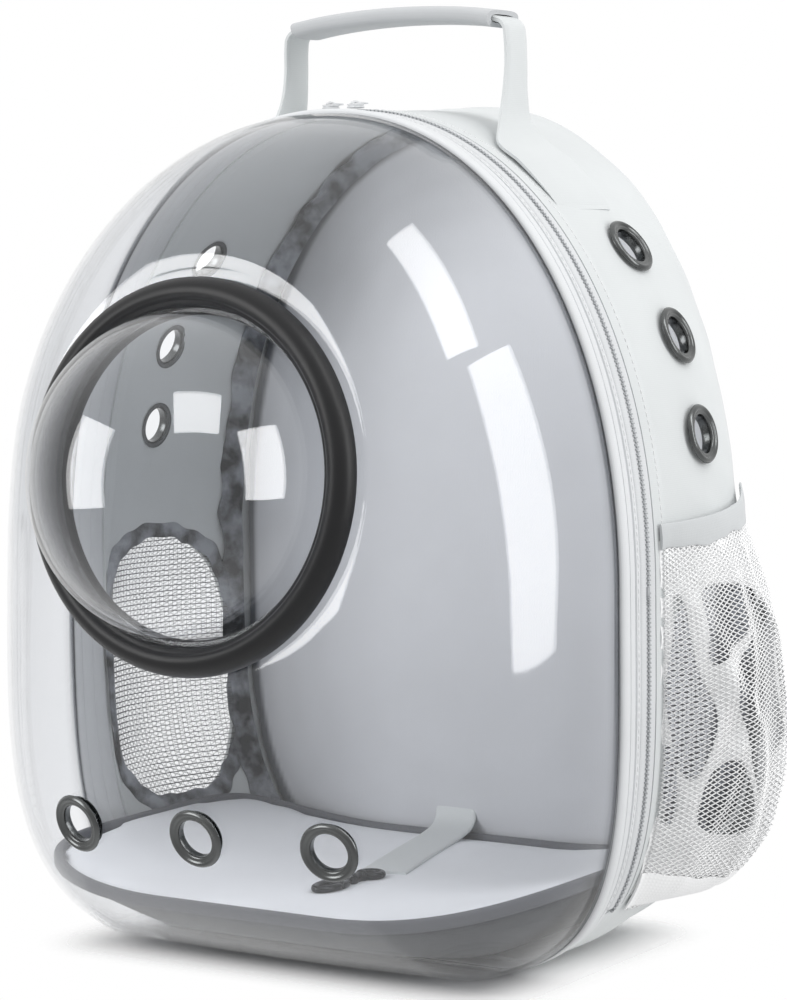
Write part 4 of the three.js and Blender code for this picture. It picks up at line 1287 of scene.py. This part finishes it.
# Floor, which fades into the white round it
FLOOR_R = 1.0
FLOOR_Z = -0.0006
FLOOR_SIDES = 96
FLOOR_FADE = 0.05
FOOTPRINT_MIDDLE = (0, -0.035, 0)
FOOTPRINT_HALF = (0.105, 0.07, 1)
turn = full_turn(FLOOR_SIDES)
disc = np.column_stack([FLOOR_R * np.cos(turn), FLOOR_R * np.sin(turn), np.full(FLOOR_SIDES, FLOOR_Z)])
floor = add_object("floor", disc / MM, [range(FLOOR_SIDES)])
s = new_shader("floor_paper")
place = s.add("TexCoord").outputs["Object"]
grain = s.mix(s.noise(place, 3.0), (0.91, 0.91, 0.91, 1), (0.94, 0.94, 0.94, 1))
paper_sockets = {"Base Color": grain, "Roughness": 0.9, "Specular IOR Level": 0.1}
paper = s.add("BsdfPrincipled", paper_sockets).outputs[0]
one_side = s.vector("ABSOLUTE", s.vector("SUBTRACT", place, FOOTPRINT_MIDDLE))
past = s.vector("MAXIMUM", s.vector("SUBTRACT", one_side, FOOTPRINT_HALF), (0, 0, 0))
away = s.vector("LENGTH", past, result="Value")
fade = s.range(away, 0.0, 1.0, 0.0, FLOOR_FADE, "SMOOTHSTEP")
nothing = s.add("BsdfTransparent", {"Color": (1, 1, 1, 1)}).outputs[0]
floor.data.materials.append(s.finish(s.add("MixShader", {0: fade, 1: paper, 2: nothing}).outputs[0]))


# Lights
STUDIO = {"distance": 2.0, "middle": (0, -0.08, 0.24)}


def softbox(name, azimuth, elevation, size, brightness, distance, middle):
    """A soft light that faces a place. Azimuth runs from the front towards the right."""
    turn, climb = math.radians(azimuth), math.radians(elevation)
    toward = Vector((math.cos(climb) * math.sin(turn), -math.cos(climb) * math.cos(turn), math.sin(climb)))
    light = bpy.data.lights.new(name, "AREA")
    light.shape = "RECTANGLE"
    light.size, light.size_y = size
    light.energy = brightness * math.pi * size[0] * size[1]
    obj = bpy.data.objects.new(name, light)
    obj.location = Vector(middle) + toward * distance
    obj.rotation_euler = (-toward).to_track_quat("-Z", "Y").to_euler()
    obj.visible_camera = False
    bpy.context.scene.collection.objects.link(obj)
    return obj


def link_light(light, state, *pieces):
    """Lets a light fall on some pieces alone, or on everything but them."""
    group = bpy.data.collections.new(light.name + "_pieces")
    for piece in pieces:
        group.objects.link(piece)
    light.light_linking.receiver_collection = group
    for entry in group.collection_objects:
        entry.light_linking.link_state = state


def studio_light(name, state, pieces, azimuth, elevation, size, brightness, place=STUDIO):
    light = softbox(name, azimuth, elevation, size, brightness, place["distance"], place["middle"])
    link_light(light, state, *pieces)


UPPER_PANEL = {"distance": 0.16, "middle": (-0.01, 0.064, 0.335)}
LEFT_WINDOW = {"distance": 0.12, "middle": (-0.176, 0.01, 0.123)}
# Each light has an azimuth and an elevation in degrees, a size in metres and a brightness
studio_light("left_light", "EXCLUDE", [bubble, shell], -27, 19, (1.15, 1.3), 4.4)
studio_light("right_light", "EXCLUDE", [bubble], 100, 12.5, (0.72, 1.4), 4.2)
studio_light("upper_light", "EXCLUDE", [bubble], 88, 52, (0.55, 1.25), 4.6)
studio_light("seat_light", "INCLUDE", [shell], -34, 15.5, (0.8, 0.5), 5.5)
studio_light("streak_light", "INCLUDE", [shell], -25, 0, (0.42, 0.3), 4.6)
studio_light("dome_left_light", "INCLUDE", [bubble], -43, 8, (1.0, 1.45), 5.6)
studio_light("dome_right_light", "INCLUDE", [bubble], 79, 11, (1.15, 1.6), 6.2)
studio_light("dome_upper_light", "INCLUDE", [bubble], 31, 45, (1.0, 0.95), 5.6)
studio_light("panel_light", "INCLUDE", [panel], 5, 10, (0.12, 0.12), 1.2, UPPER_PANEL)
studio_light("right_pocket_light", "INCLUDE", pockets["right"], 80, 14, (0.8, 0.8), 2.6)
studio_light("left_pocket_light", "INCLUDE", pockets["left"], 90, 5, (0.1, 0.14), 2.0, LEFT_WINDOW)

# A white backdrop behind the bag, a white ground and a dimmer room in front
BACKDROP = (-0.55, 0.83, 0.0)
ROOM = 0.48
GROUND = 0.45
w = Shader(bpy.data.worlds.new("studio"))
direction = w.add("TexCoord").outputs["Generated"]
behind = w.vector("DOT_PRODUCT", direction, BACKDROP, result="Value")
bright = w.range(behind, ROOM, 1.0, -0.1, 0.8, "SMOOTHSTEP")
height = w.add("SeparateXYZ", {0: direction}).outputs["Z"]
light = w.math("MULTIPLY_ADD", w.math("MULTIPLY", height, height), GROUND, bright)
seen = w.add("LightPath").outputs["Is Camera Ray"]
capped = w.math("MINIMUM", w.math("MAXIMUM", light, seen), 1.0)
backdrop = w.add("Background", {"Color": capped, "Strength": 1.0}).outputs[0]
scene = bpy.context.scene
scene.world = w.finish(backdrop, "OutputWorld")
scene.view_settings.view_transform = "Standard"
scene.cycles.transparent_max_bounces = 24
scene.cycles.max_bounces = 6
scene.cycles.glossy_bounces = 3
